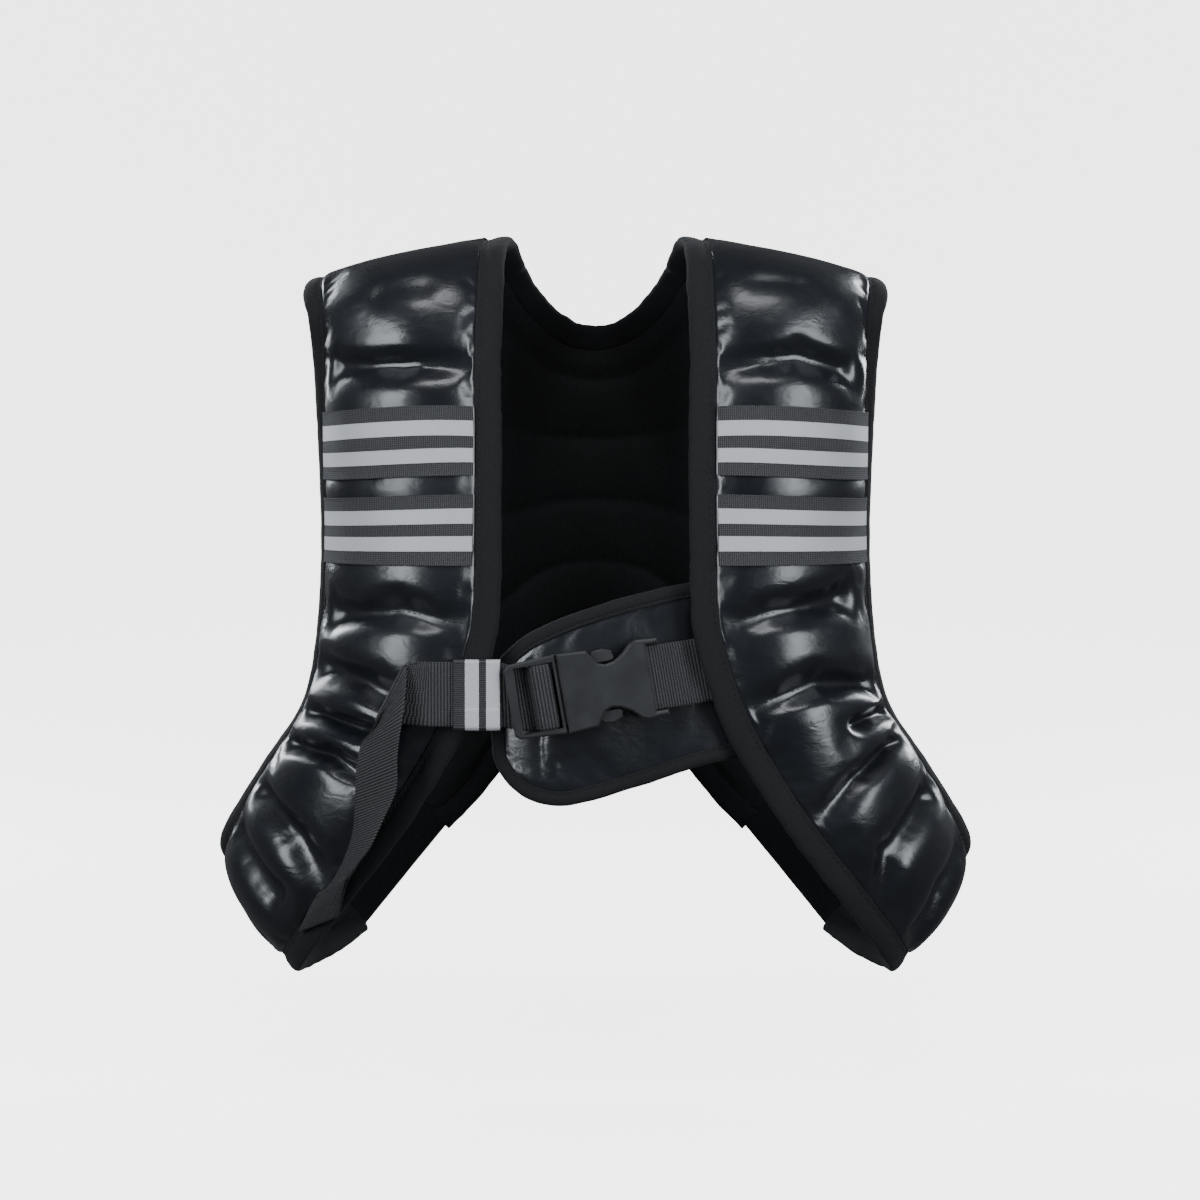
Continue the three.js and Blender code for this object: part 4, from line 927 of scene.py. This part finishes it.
# Striped bands over the filling, from edge to edge, with slightly curled selvedges. v goes across the band.
# the second colour is the painted highlight on the ribs' tops; the stripes are the band's own pale colour
bandCloth = wovenTape("bandCloth", (0.018, 0.018, 0.02), (0.06, 0.06, 0.064), 0.0011,
                      [(0.0082, 0.017), (0.024, 0.0322)])
bandSpec = {"rows": 22, "columns": 60, "end": 0.985, "looseness": 0.0004, "curl": 0.0005, "probe": 0.1}


# A band lies round middleRow of the strip, lifted over the filling; a short probe gives the metres to a row.
def band(name, node, middleRow, mirror):
    aside = bandSpec["probe"]
    probe = stripPoint(frontTable, np.array([middleRow - aside, middleRow + aside]), np.zeros(2))
    reach = size["band"] / 2 / (norm(probe[1:] - probe[:1])[0, 0] / (2 * aside))
    count = bandSpec["rows"]
    rows = np.linspace(middleRow - reach, middleRow + reach, count)
    across = np.linspace(-bandSpec["end"], bandSpec["end"], bandSpec["columns"])
    base, normal = stripGrid(frontTable, rows, across)
    r, a = np.meshgrid(rows, across, indexing="ij")
    edge = np.abs(np.linspace(-1, 1, count))[:, None] ** 8
    lift = padHeight(r, a) + 2 * size["gap"] + bandSpec["looseness"] * waves(base, 0.05, 41) * (1 - a ** 2)
    lift = lift + bandSpec["curl"] * edge
    front, rear = base + normal * (lift + size["bandThick"])[..., None], base + normal * lift[..., None]
    run = runOf(base[count // 2])
    uv = np.stack(np.broadcast_arrays(run[None, :], np.linspace(0, size["band"], count)[:, None]), -1)
    slabPiece(name, node, front, rear, bandCloth, uv=uv, mirror=mirror)


for place, row in bandRows.items():
    band(f"band_{place}Left", f"band_{place}_left", row, False)
    band(f"band_{place}Right", f"band_{place}_right", row, True)
say("bands")


# Flap: a thin pad of the coated cloth, with tape round three sides
flapRows, flapAcross = np.linspace(0, 7, 70), np.linspace(-1, 1, 46)
base, normal = stripGrid(flapTable, flapRows, flapAcross)
r, a = np.meshgrid(flapRows, flapAcross, indexing="ij")
loft = np.interp(r, np.arange(8), flapTable[:, 7])
filled = size["flap"] + size["flapLoft"] * loft * domeAt(a)
held = np.zeros(filled.shape)
holdBorder(held)
flapFullness = 0.0012
flapPuff = {"quality": 6, "stiffness": 20, "bending": 1, "spare": 0.02, "pressure": 3, "frames": 18}
ceiling = filled + flapFullness * loft * domeAt(a) + padLimits["hair"]
face = puff("flap", base, normal, filled, held, filled * 0.7, ceiling, flapPuff)
slabPiece("flapPad", "flap", face, base, coated)
upper = stripEdge(flapTable, np.linspace(0, 7, 120), 1)
tip, tipNormal = stripGrid(flapTable, np.array([7.0]), np.linspace(1, -1, 60))
tipEdge = [tip[0], tipNormal[0], outwards(tip[0], tipNormal[0], np.array([-1.0, 0, 0]))]
lower = stripEdge(flapTable, np.linspace(7, 0, 120), -1)
rim = [np.vstack([u, t[1:], l[1:]]) for u, t, l in zip(upper, tipEdge, lower)]
edgeTape("flapTape", "flap_edging", *rim, {
    "gap": -0.0007, "thick": size["flapTapeThick"], "middle": size["flap"] / 2,
    "width": size["flapTape"], "seed": 29, "smooth": 5,
})
seamStitches = stitchMesh("tapeStitches", tapePaths, thread=0.0006, length=0.0028, gap=0.0012)
settle(seamStitches, None)
say("flap")


# Webbing: a ribbon from its upper and lower edges (n x 3) and the way its face looks, with rounded selvedges.
def ribbon(name, node, upper, lower, face):
    across = np.array([0, 0.02, 0.1, 0.3, 0.5, 0.7, 0.9, 0.98, 1])
    fat = np.array([0.3, 0.85, 1, 0.97, 0.95, 0.97, 1, 0.85, 0.3]) * size["webbingThick"] / 2
    flat = upper[:, None] + (lower - upper)[:, None] * across[None, :, None]
    front = flat + face[:, None] * fat[None, :, None]
    behind = flat - face[:, None] * fat[None, :, None]
    rings = np.concatenate([front, behind[:, ::-1]], 1)
    run = runOf((upper + lower) / 2)
    print(f"{name}: {run[-1] * 1000:.0f} mm long")
    v = np.concatenate([across, across[::-1]]) * size["webbing"]
    uv = np.stack(np.broadcast_arrays(run[:, None], v[None, :]), -1)
    settle(tubeObject(name, rings, webbingCloth, False, uv), node)


# Both edges of a strap at even steps of its upper edge, with their corners rounded by a running mean.
def evenEdges(upper, lower, soften):
    run = runOf(upper)
    t = np.linspace(0, run[-1], int(run[-1] / strap["step"]))
    made = []
    for edge in (upper, lower):
        even = alongRun(t, run, edge)
        soft = smoothed(even, soften, False)
        soft[0], soft[-1] = even[0], even[-1]
        made.append(soft)
    return made


# The buckle's own frame: x from the plug's outer bar to the mouth, y backwards, z across it. Its place is in
# shares of the half width and the height, as in the tables.
buckle = {
    "x": -0.214, "z": -0.5895, "length": 0.084, "yaw": math.radians(4.5), "tilt": math.radians(9.9),
    "frameThick": 0.0065, "outerBar": 0.062, "middleBar": 0.196, "middleBarEnd": 0.304, "barThick": 0.0036,
    "anchorRadius": 0.00175, "gapBehind": 0.006,
}
layer = size["webbingThick"] + size["gap"]
underFrame = buckle["frameThick"] / 2 + 2 * layer
flapFront = 0.95 * size["halfDepth"] + size["flap"] + size["flapLoft"]
buckleDepth = flapFront + buckle["gapBehind"] + underFrame
buckleOrigin = np.array([buckle["x"] * size["halfWidth"], -buckleDepth, buckle["z"] * size["height"]])
cy, sy = math.cos(buckle["yaw"]), math.sin(buckle["yaw"])
ct, st = math.cos(buckle["tilt"]), math.sin(buckle["tilt"])
yawTurn = np.array([[cy, -sy, 0], [sy, cy, 0], [0, 0, 1]])
buckleTurn = yawTurn @ np.array([[ct, 0, -st], [0, 1, 0], [st, 0, ct]])


def inBuckle(points):
    return np.asarray(points, float) @ buckleTurn.T + buckleOrigin


# A solid's faces, to be hit by rays.
def treeOf(node):
    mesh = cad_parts[node].data
    return BVHTree.FromPolygons([v.co[:] for v in mesh.vertices], [p.vertices[:] for p in mesh.polygons])


frontPieces = [treeOf("front_panel_right"), treeOf("neck_edging")]

# The long strap's stations in x, and its tail over the right panel: row and across of the free edge, its gap
# as a share of the webbing's width, then row and across of the edge that rests on the panel.
strap = {
    "z": -0.579 * size["height"], "inKeeper": 6,
    "x": np.array([-0.237, -0.26, -0.285, -0.31, -0.33, -0.353, -0.41]) * size["halfWidth"],
    "anchor": -0.445 * size["halfWidth"], "foldTop": -0.466 * size["halfWidth"],
    "foldBottom": -0.55 * size["halfWidth"], "topBack": 0.0005, "bottomBack": 0.005,
    "step": 0.0012, "cut": 0.0012, "freeClear": 0.002, "restClear": 0.00235, "turned": 14,
    "tail": np.array([
        [9.22, 0.77, 0.42, 9.87, 0.43], [9.76, 0.89, 0.5, 10.39, 0.55], [10.29, 1.06, 0.58, 10.81, 0.71],
        [10.72, 1.13, 0.62, 11.18, 0.86], [11.08, 1.19, 0.64, 11.41, 0.94], [11.32, 1.2, 0.54, 11.72, 1],
        [11.6, 1.22, 0.32, 12.09, 0.99], [12, 1.36, 0.06, 12.55, 1.06],
    ]),
}


# How far forward the right front and its tape reach at x, z: the nearest hit of a ray from ahead.
def restDepth(x, z):
    best = 0.0
    for piece in frontPieces:
        where = piece.ray_cast(Vector((x, -0.3, z)), Vector((0, 1, 0)))[0]
        best = max(best, -where.y) if where else best
    return best


# The strap's middle depth where it lies on what is furthest forward under its width.
def strapDepth(x):
    reach = size["webbing"] / 2 + size["gap"] + size["keeperWall"]
    under = [restDepth(x + aside, strap["z"] + up)
             for up in np.linspace(-reach, reach, 7) for aside in (-0.003, 0, 0.003)]
    return max(under) + size["gap"] + size["webbingThick"] / 2


# Depths of the strap at its stations: pulled tight, it spans from one high place to the next.
restX = np.append(strap["x"], strap["anchor"])
inKeeper = np.arange(len(restX)) < strap["inKeeper"]
rests = np.array([strapDepth(x) for x in restX]) + inKeeper * (size["keeperWall"] + size["gap"])
plugEnd = inBuckle([-0.002, underFrame - size["webbingThick"] / 2, 0])
heldX, heldDepth = np.append(plugEnd[0], restX), np.append(-plugEnd[1], rests)
depths = np.array([max(
    heldDepth[i] + (heldDepth[j] - heldDepth[i]) * (x - heldX[i]) / (heldX[j] - heldX[i])
    for i in range(len(heldX)) for j in range(len(heldX)) if heldX[j] <= x < heldX[i]) for x in restX])

halfWeb = size["webbing"] / 2
upright, ahead = np.array([0, 0, 1.0]), np.array([0, -1.0, 0])


# Upper and lower edges of a flat run of the strap at these x, this deep.
def flatRun(x, depth):
    middle = np.stack([x, -depth, np.full(len(x), strap["z"])], -1)
    return middle + upright * halfWeb, middle - upright * halfWeb


# Edges of a path of (x, y) places in the buckle's frame.
def buckleRun(path):
    path = np.asarray(path, float)
    return tuple(inBuckle(np.column_stack([path, np.full(len(path), up * halfWeb)])) for up in (1, -1))


# Places over the right front panel's filling, gap above it.
def overPanel(row, across, gap):
    loft = np.interp(row, np.arange(17), frontTable[:, 7]) * np.maximum(0, domeAt(across))
    points, normals = [], []
    for r, a in zip(row, across):
        p, n = stripGrid(frontTable, np.array([r]), np.array([a]))
        points.append(p[0, 0])
        normals.append(n[0, 0])
    made = np.array(points) + np.array(normals) * (size["padEdge"] + size["padLoft"] * loft + gap)[:, None]
    return flipX(made)


# The long strap: from its anchor to the plug, round the ladder's bar, back over itself, folded down, and
# hanging over the panel with its end turned back.
def adjustStrap():
    innerY = underFrame - size["webbingThick"] / 2
    outerY = innerY - layer
    turnB = buckle["middleBarEnd"] * buckle["length"] + size["gap"] + size["webbingThick"] / 2
    turnA = buckle["middleBar"] * buckle["length"] - size["gap"] - size["webbingThick"] / 2
    over = -(buckle["barThick"] / 2 + size["gap"] + size["webbingThick"] / 2)
    cut, inside = strap["cut"], buckle["outerBar"] * buckle["length"] + 0.003
    ladder = buckleRun([
        (inside, innerY), (turnB - cut, innerY), (turnB, innerY - cut), (turnB, over + cut),
        (turnB - cut, over), (turnA + cut, over), (turnA, over + cut), (turnA, outerY - cut),
        (turnA - cut, outerY), (inside, outerY),
    ])
    back = flatRun(restX[::-1], depths[::-1])
    forth = flatRun(strap["x"], depths[:-1] + layer)
    upper, lower = (np.vstack([b, w, f]) for b, w, f in zip(back, ladder, forth))
    foldDepth = depths[-2] + layer
    top = np.array([strap["foldTop"], -(foldDepth - strap["topBack"]), strap["z"] + halfWeb])
    bottom = np.array([strap["foldBottom"], -(foldDepth - strap["bottomBack"]), strap["z"] - halfWeb])
    outward = unitOf(np.cross(top - bottom, ahead))
    if outward[0] > 0:
        outward = -outward
    fold = layer * np.array([(0, 0), (0.15, 0.45), (0.5, 0.62), (0.85, 0.45), (1, 0)])
    freeRow, freeAcross, away, restRow, restAcross = strap["tail"].T
    free = overPanel(freeRow, freeAcross, strap["freeClear"] + away * size["webbing"])
    rest = overPanel(restRow, restAcross, np.full(len(restRow), strap["restClear"]))
    topRun = np.vstack([[top + ahead * a + outward * o for a, o in fold], free])
    lowRun = np.vstack([[bottom + ahead * a + outward * o for a, o in fold], rest])
    t = np.concatenate([np.arange(len(fold) - 1), np.linspace(len(fold) - 1, len(topRun) - 1, 80)])
    free, rest = splineAt(topRun, t), splineAt(lowRun, t)
    middle = (free + rest) / 2
    free = middle + unitOf(free - middle) * halfWeb
    rest = middle + unitOf(rest - middle) * halfWeb
    one, two = evenEdges(upper, lower, 2)
    upper, lower = np.vstack([one, free]), np.vstack([two, rest])
    along = np.gradient((upper + lower) / 2, axis=0)
    face = unitOf(np.cross(upper - lower, along))
    ribbon("strapAdjust", "strap_adjust", upper, lower, unitOf(smoothed(face, 1, False)))
    # The tail's end is turned back on itself and stitched down.
    turned = strap["turned"]
    end = slice(len(upper) - turned, len(upper))
    out = face[end] * (-1 if face[end][0] @ ahead < 0 else 1)
    ribbon("strapHem", None, upper[end] + out * layer, lower[end] + out * layer, face[end])
    stitched = []
    for share in (0.25, 0.75):
        i = len(upper) - turned + int(share * (turned - 1))
        t = np.linspace(0.06, 0.94, 30)[:, None]
        line = upper[i] + (lower[i] - upper[i]) * t + out[0] * (layer + size["webbingThick"] / 2)
        stitched.append((line, np.repeat(out[:1], 30, 0)))
    hemStitches = stitchMesh("hemStitches", stitched, thread=0.0006, length=0.0024, gap=0.001)
    settle(hemStitches, None)


# The short strap: two layers from behind the left panel, looped round the socket's bar. The layers leave the
# buckle at leaves of its length, a little closer together.
shortSpec = {
    "tilt": math.radians(11.3), "root": np.array([(0.28, -0.968, -0.5485), (0.235, -0.968, -0.553)]) * unit,
    "bar": 0.905, "leaves": 1.02, "closer": 0.0005, "past": 0.001,
}


def shortStrap():
    wide = np.array([-math.sin(shortSpec["tilt"]), 0, math.cos(shortSpec["tilt"])])
    half, root = layer / 2, shortSpec["root"]
    turn = buckle["anchorRadius"] + size["gap"] + size["webbingThick"] / 2
    barX = shortSpec["bar"] * buckle["length"] + turn + size["webbingThick"] / 2 + size["gap"]
    leaves, past = shortSpec["leaves"] * buckle["length"], barX + shortSpec["past"]
    angle = np.linspace(-math.pi / 2, -3 * math.pi / 2, 9)
    loop = [(leaves, -turn + shortSpec["closer"]), (past, -turn)]
    loop += [(barX + turn * math.cos(a), turn * math.sin(a)) for a in angle]
    loop += [(past, turn), (leaves, turn - shortSpec["closer"])]
    up, low = buckleRun(loop)
    front, rear = root + ahead * half, root - ahead * half
    upper = np.vstack([front + wide * halfWeb, up, (rear + wide * halfWeb)[::-1]])
    lower = np.vstack([front - wide * halfWeb, low, (rear - wide * halfWeb)[::-1]])
    one, two = evenEdges(upper, lower, 1)
    face = unitOf(np.cross(one - two, np.gradient((one + two) / 2, axis=0)))
    ribbon("strapShort", "strap_short", one, two, face)


# Keeper: a loop of striped tape round both layers, lapped over itself low on the front.
# the second colour is the painted highlight on the ribs' tops; the stripes are the keeper's own pale colour
keeperCloth = wovenTape("keeperCloth", (0.014, 0.014, 0.016), (0.05, 0.05, 0.054), 0.0011,
                        [(0.0068, 0.015), (0.0192, 0.0275)])
keeperSpec = {"corner": 0.0009, "lap": 0.0008, "lapBelow": -0.45, "wall": 0.85}


def keeperLoop():
    x = np.linspace(strap["x"][5], strap["x"][0], 34)
    middle = np.interp(x, strap["x"][::-1], depths[:7][::-1]) + layer / 2
    deep, tall = layer / 2 + size["webbingThick"] / 2 + size["gap"], halfWeb + size["gap"]
    corner = keeperSpec["corner"]
    inner = np.array([deep - corner, tall - corner])
    around = []
    for cx, cz, first in ((1, 1, 0), (-1, 1, 90), (-1, -1, 180), (1, -1, 270)):
        for a in np.radians(first + np.linspace(0, 90, 5)):
            around.append(inner * (cx, cz) + corner * np.array([math.cos(a), math.sin(a)]))
    path = np.array([*around, around[0]])
    run = runOf(path)
    t = np.linspace(0, run[-1], 120, endpoint=False)
    ring = alongRun(t, run, path)
    out = unitOf(ring - np.clip(ring, -inner, inner) + 1e-9)
    lapped = keeperSpec["lap"] * ((ring[:, 0] > 0) & (ring[:, 1] < keeperSpec["lapBelow"] * tall))
    grids = []
    for wall in (np.zeros(len(t)), size["keeperWall"] * keeperSpec["wall"] + lapped):
        place = ring + out * wall[:, None]
        grid = np.zeros((len(t), len(x), 3))
        grid[..., 0] = x[None, :]
        grid[..., 1] = -(middle[None, :] + place[:, None, 0])
        grid[..., 2] = strap["z"] + place[:, None, 1]
        grids.append(grid)
    rings = np.concatenate([grids[0], grids[1][:, ::-1]], 1)
    v = np.concatenate([x, x[::-1]]) - x[0]
    uv = np.stack(np.broadcast_arrays(t[:, None], v[None, :]), -1)
    settle(tubeObject("keeper", rings, keeperCloth, True, uv), "keeper")


adjustStrap()
shortStrap()
keeperLoop()

# The buckle's halves keep their solids, with their sharper edges rounded.
for name in ("buckle_socket", "buckle_plug"):
    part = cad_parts[name]
    part.data.materials.clear()
    part.data.materials.append(plastic)
    edges = part.modifiers.new("edges", "BEVEL")
    edges.width, edges.segments = 0.0006, 3
    edges.limit_method, edges.angle_limit = "ANGLE", math.radians(25)
say("straps, keeper and buckle")


# Setting: pale floor and backdrop in one round sweep, soft boxes, and the photograph's view.
setting = {
    "floor": -0.52, "pinhole": 0.0002, "flat": 1.6, "wall": 3.2, "rise": 1.6, "top": 4.5, "glow": 3.2,
    "room": 0.13,
}


# A bowl: a flat disc, a quarter ellipse up to the wall, and the wall, turned round the upright axis; it faces
# inwards.
def sweep():
    bend = np.linspace(0, math.pi / 2, 16)[1:]
    flat, wall, rise = setting["flat"], setting["wall"], setting["rise"]
    disc, upTo = np.linspace(setting["pinhole"], flat, 8), np.linspace(rise + 0.2, setting["top"], 5)
    far = np.concatenate([disc, flat + (wall - flat) * np.sin(bend), np.full(5, wall)])
    high = np.concatenate([np.zeros(8), rise * (1 - np.cos(bend)), upTo])
    turn = np.linspace(0, 2 * math.pi, 96, endpoint=False)
    across, up = far[:, None], np.broadcast_to(high[:, None] + setting["floor"], (len(far), 96))
    grid = np.stack([across * np.cos(turn), across * np.sin(turn), up], -1)
    n = Nodes("paleFloor", (0.86, 0.86, 0.86), 0.6)
    fine = n.noise(n.place(), scale=40, detail=3, roughness=0.5)
    n.set(n.shader, "Emission Color", (1, 1, 1, 1))
    n.set(n.shader, "Emission Strength", setting["glow"])
    paint = n.finish(None, n.ramp(fine, 0.3, 0.7, 0.55, 0.65), n.bump(fine, strength=0.02, distance=0.001))
    faces = gridFaces(len(far), 96, closed=True, flip=True)
    floor = meshObject("paleFloor", grid.reshape(-1, 3), faces, None, paint)
    floor.visible_glossy = False  # the glossy cloth shows the soft boxes in a dim room, not a white one
    floor.visible_diffuse = False


sweep()


# A soft box at a place, turned to the vest's middle at a height, and its size, watts and colour.
def softBox(name, place, aim, width, height, power, colour):
    light = bpy.data.lights.new(name, "AREA")
    light.shape, light.size, light.size_y = "RECTANGLE", width, height
    light.energy, light.color = power, colour
    obj = bpy.data.objects.new(name, light)
    obj.location = place
    obj.rotation_euler = (Vector((0, 0, aim)) - Vector(place)).to_track_quat("-Z", "Y").to_euler()
    obj.visible_camera = False
    scene.collection.objects.link(obj)


cool, pale = (0.9, 0.95, 1), (0.95, 0.97, 1)
for side, way in (("Left", -1), ("Right", 1)):
    softBox("box" + side, (1.35 * way, -1.25, 0.15), aim=-0.22, width=0.75, height=1.6, power=44, colour=cool)
softBox("boxTop", (0, -0.9, 1.5), aim=-0.15, width=1.2, height=0.4, power=16, colour=pale)
for side, way in (("Left", -1), ("Right", 1)):
    softBox("boxRear" + side, (1.3 * way, 1.3, 0.5), aim=-0.22, width=0.5, height=1.1, power=30, colour=cool)
world = bpy.data.worlds.new("studio")
world.use_nodes = True
background = world.node_tree.nodes["Background"]
background.inputs[0].default_value = (*pale, 1)
background.inputs[1].default_value = setting["room"]
scene.world = world

# The photograph's view: focal length and sideways shift in its own pixels, from away metres, a little above.
view = {"pixels": 1200, "focal": 2897, "aside": 4.5, "away": 1.8, "middle": -0.217, "above": math.radians(3)}
lens = bpy.data.cameras.new("view")
lens.sensor_width, lens.lens = 36, 36 * view["focal"] / view["pixels"]
lens.shift_x = view["aside"] / view["pixels"]
camera = bpy.data.objects.new("view", lens)
away, above = view["away"], view["above"]
camera.location = (0, -away * math.cos(above), view["middle"] + away * math.sin(above))
toMiddle = Vector((0, 0, view["middle"])) - camera.location
camera.rotation_euler = toMiddle.to_track_quat("-Z", "Y").to_euler()
scene.collection.objects.link(camera)
scene.camera = camera

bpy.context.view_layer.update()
say("done")
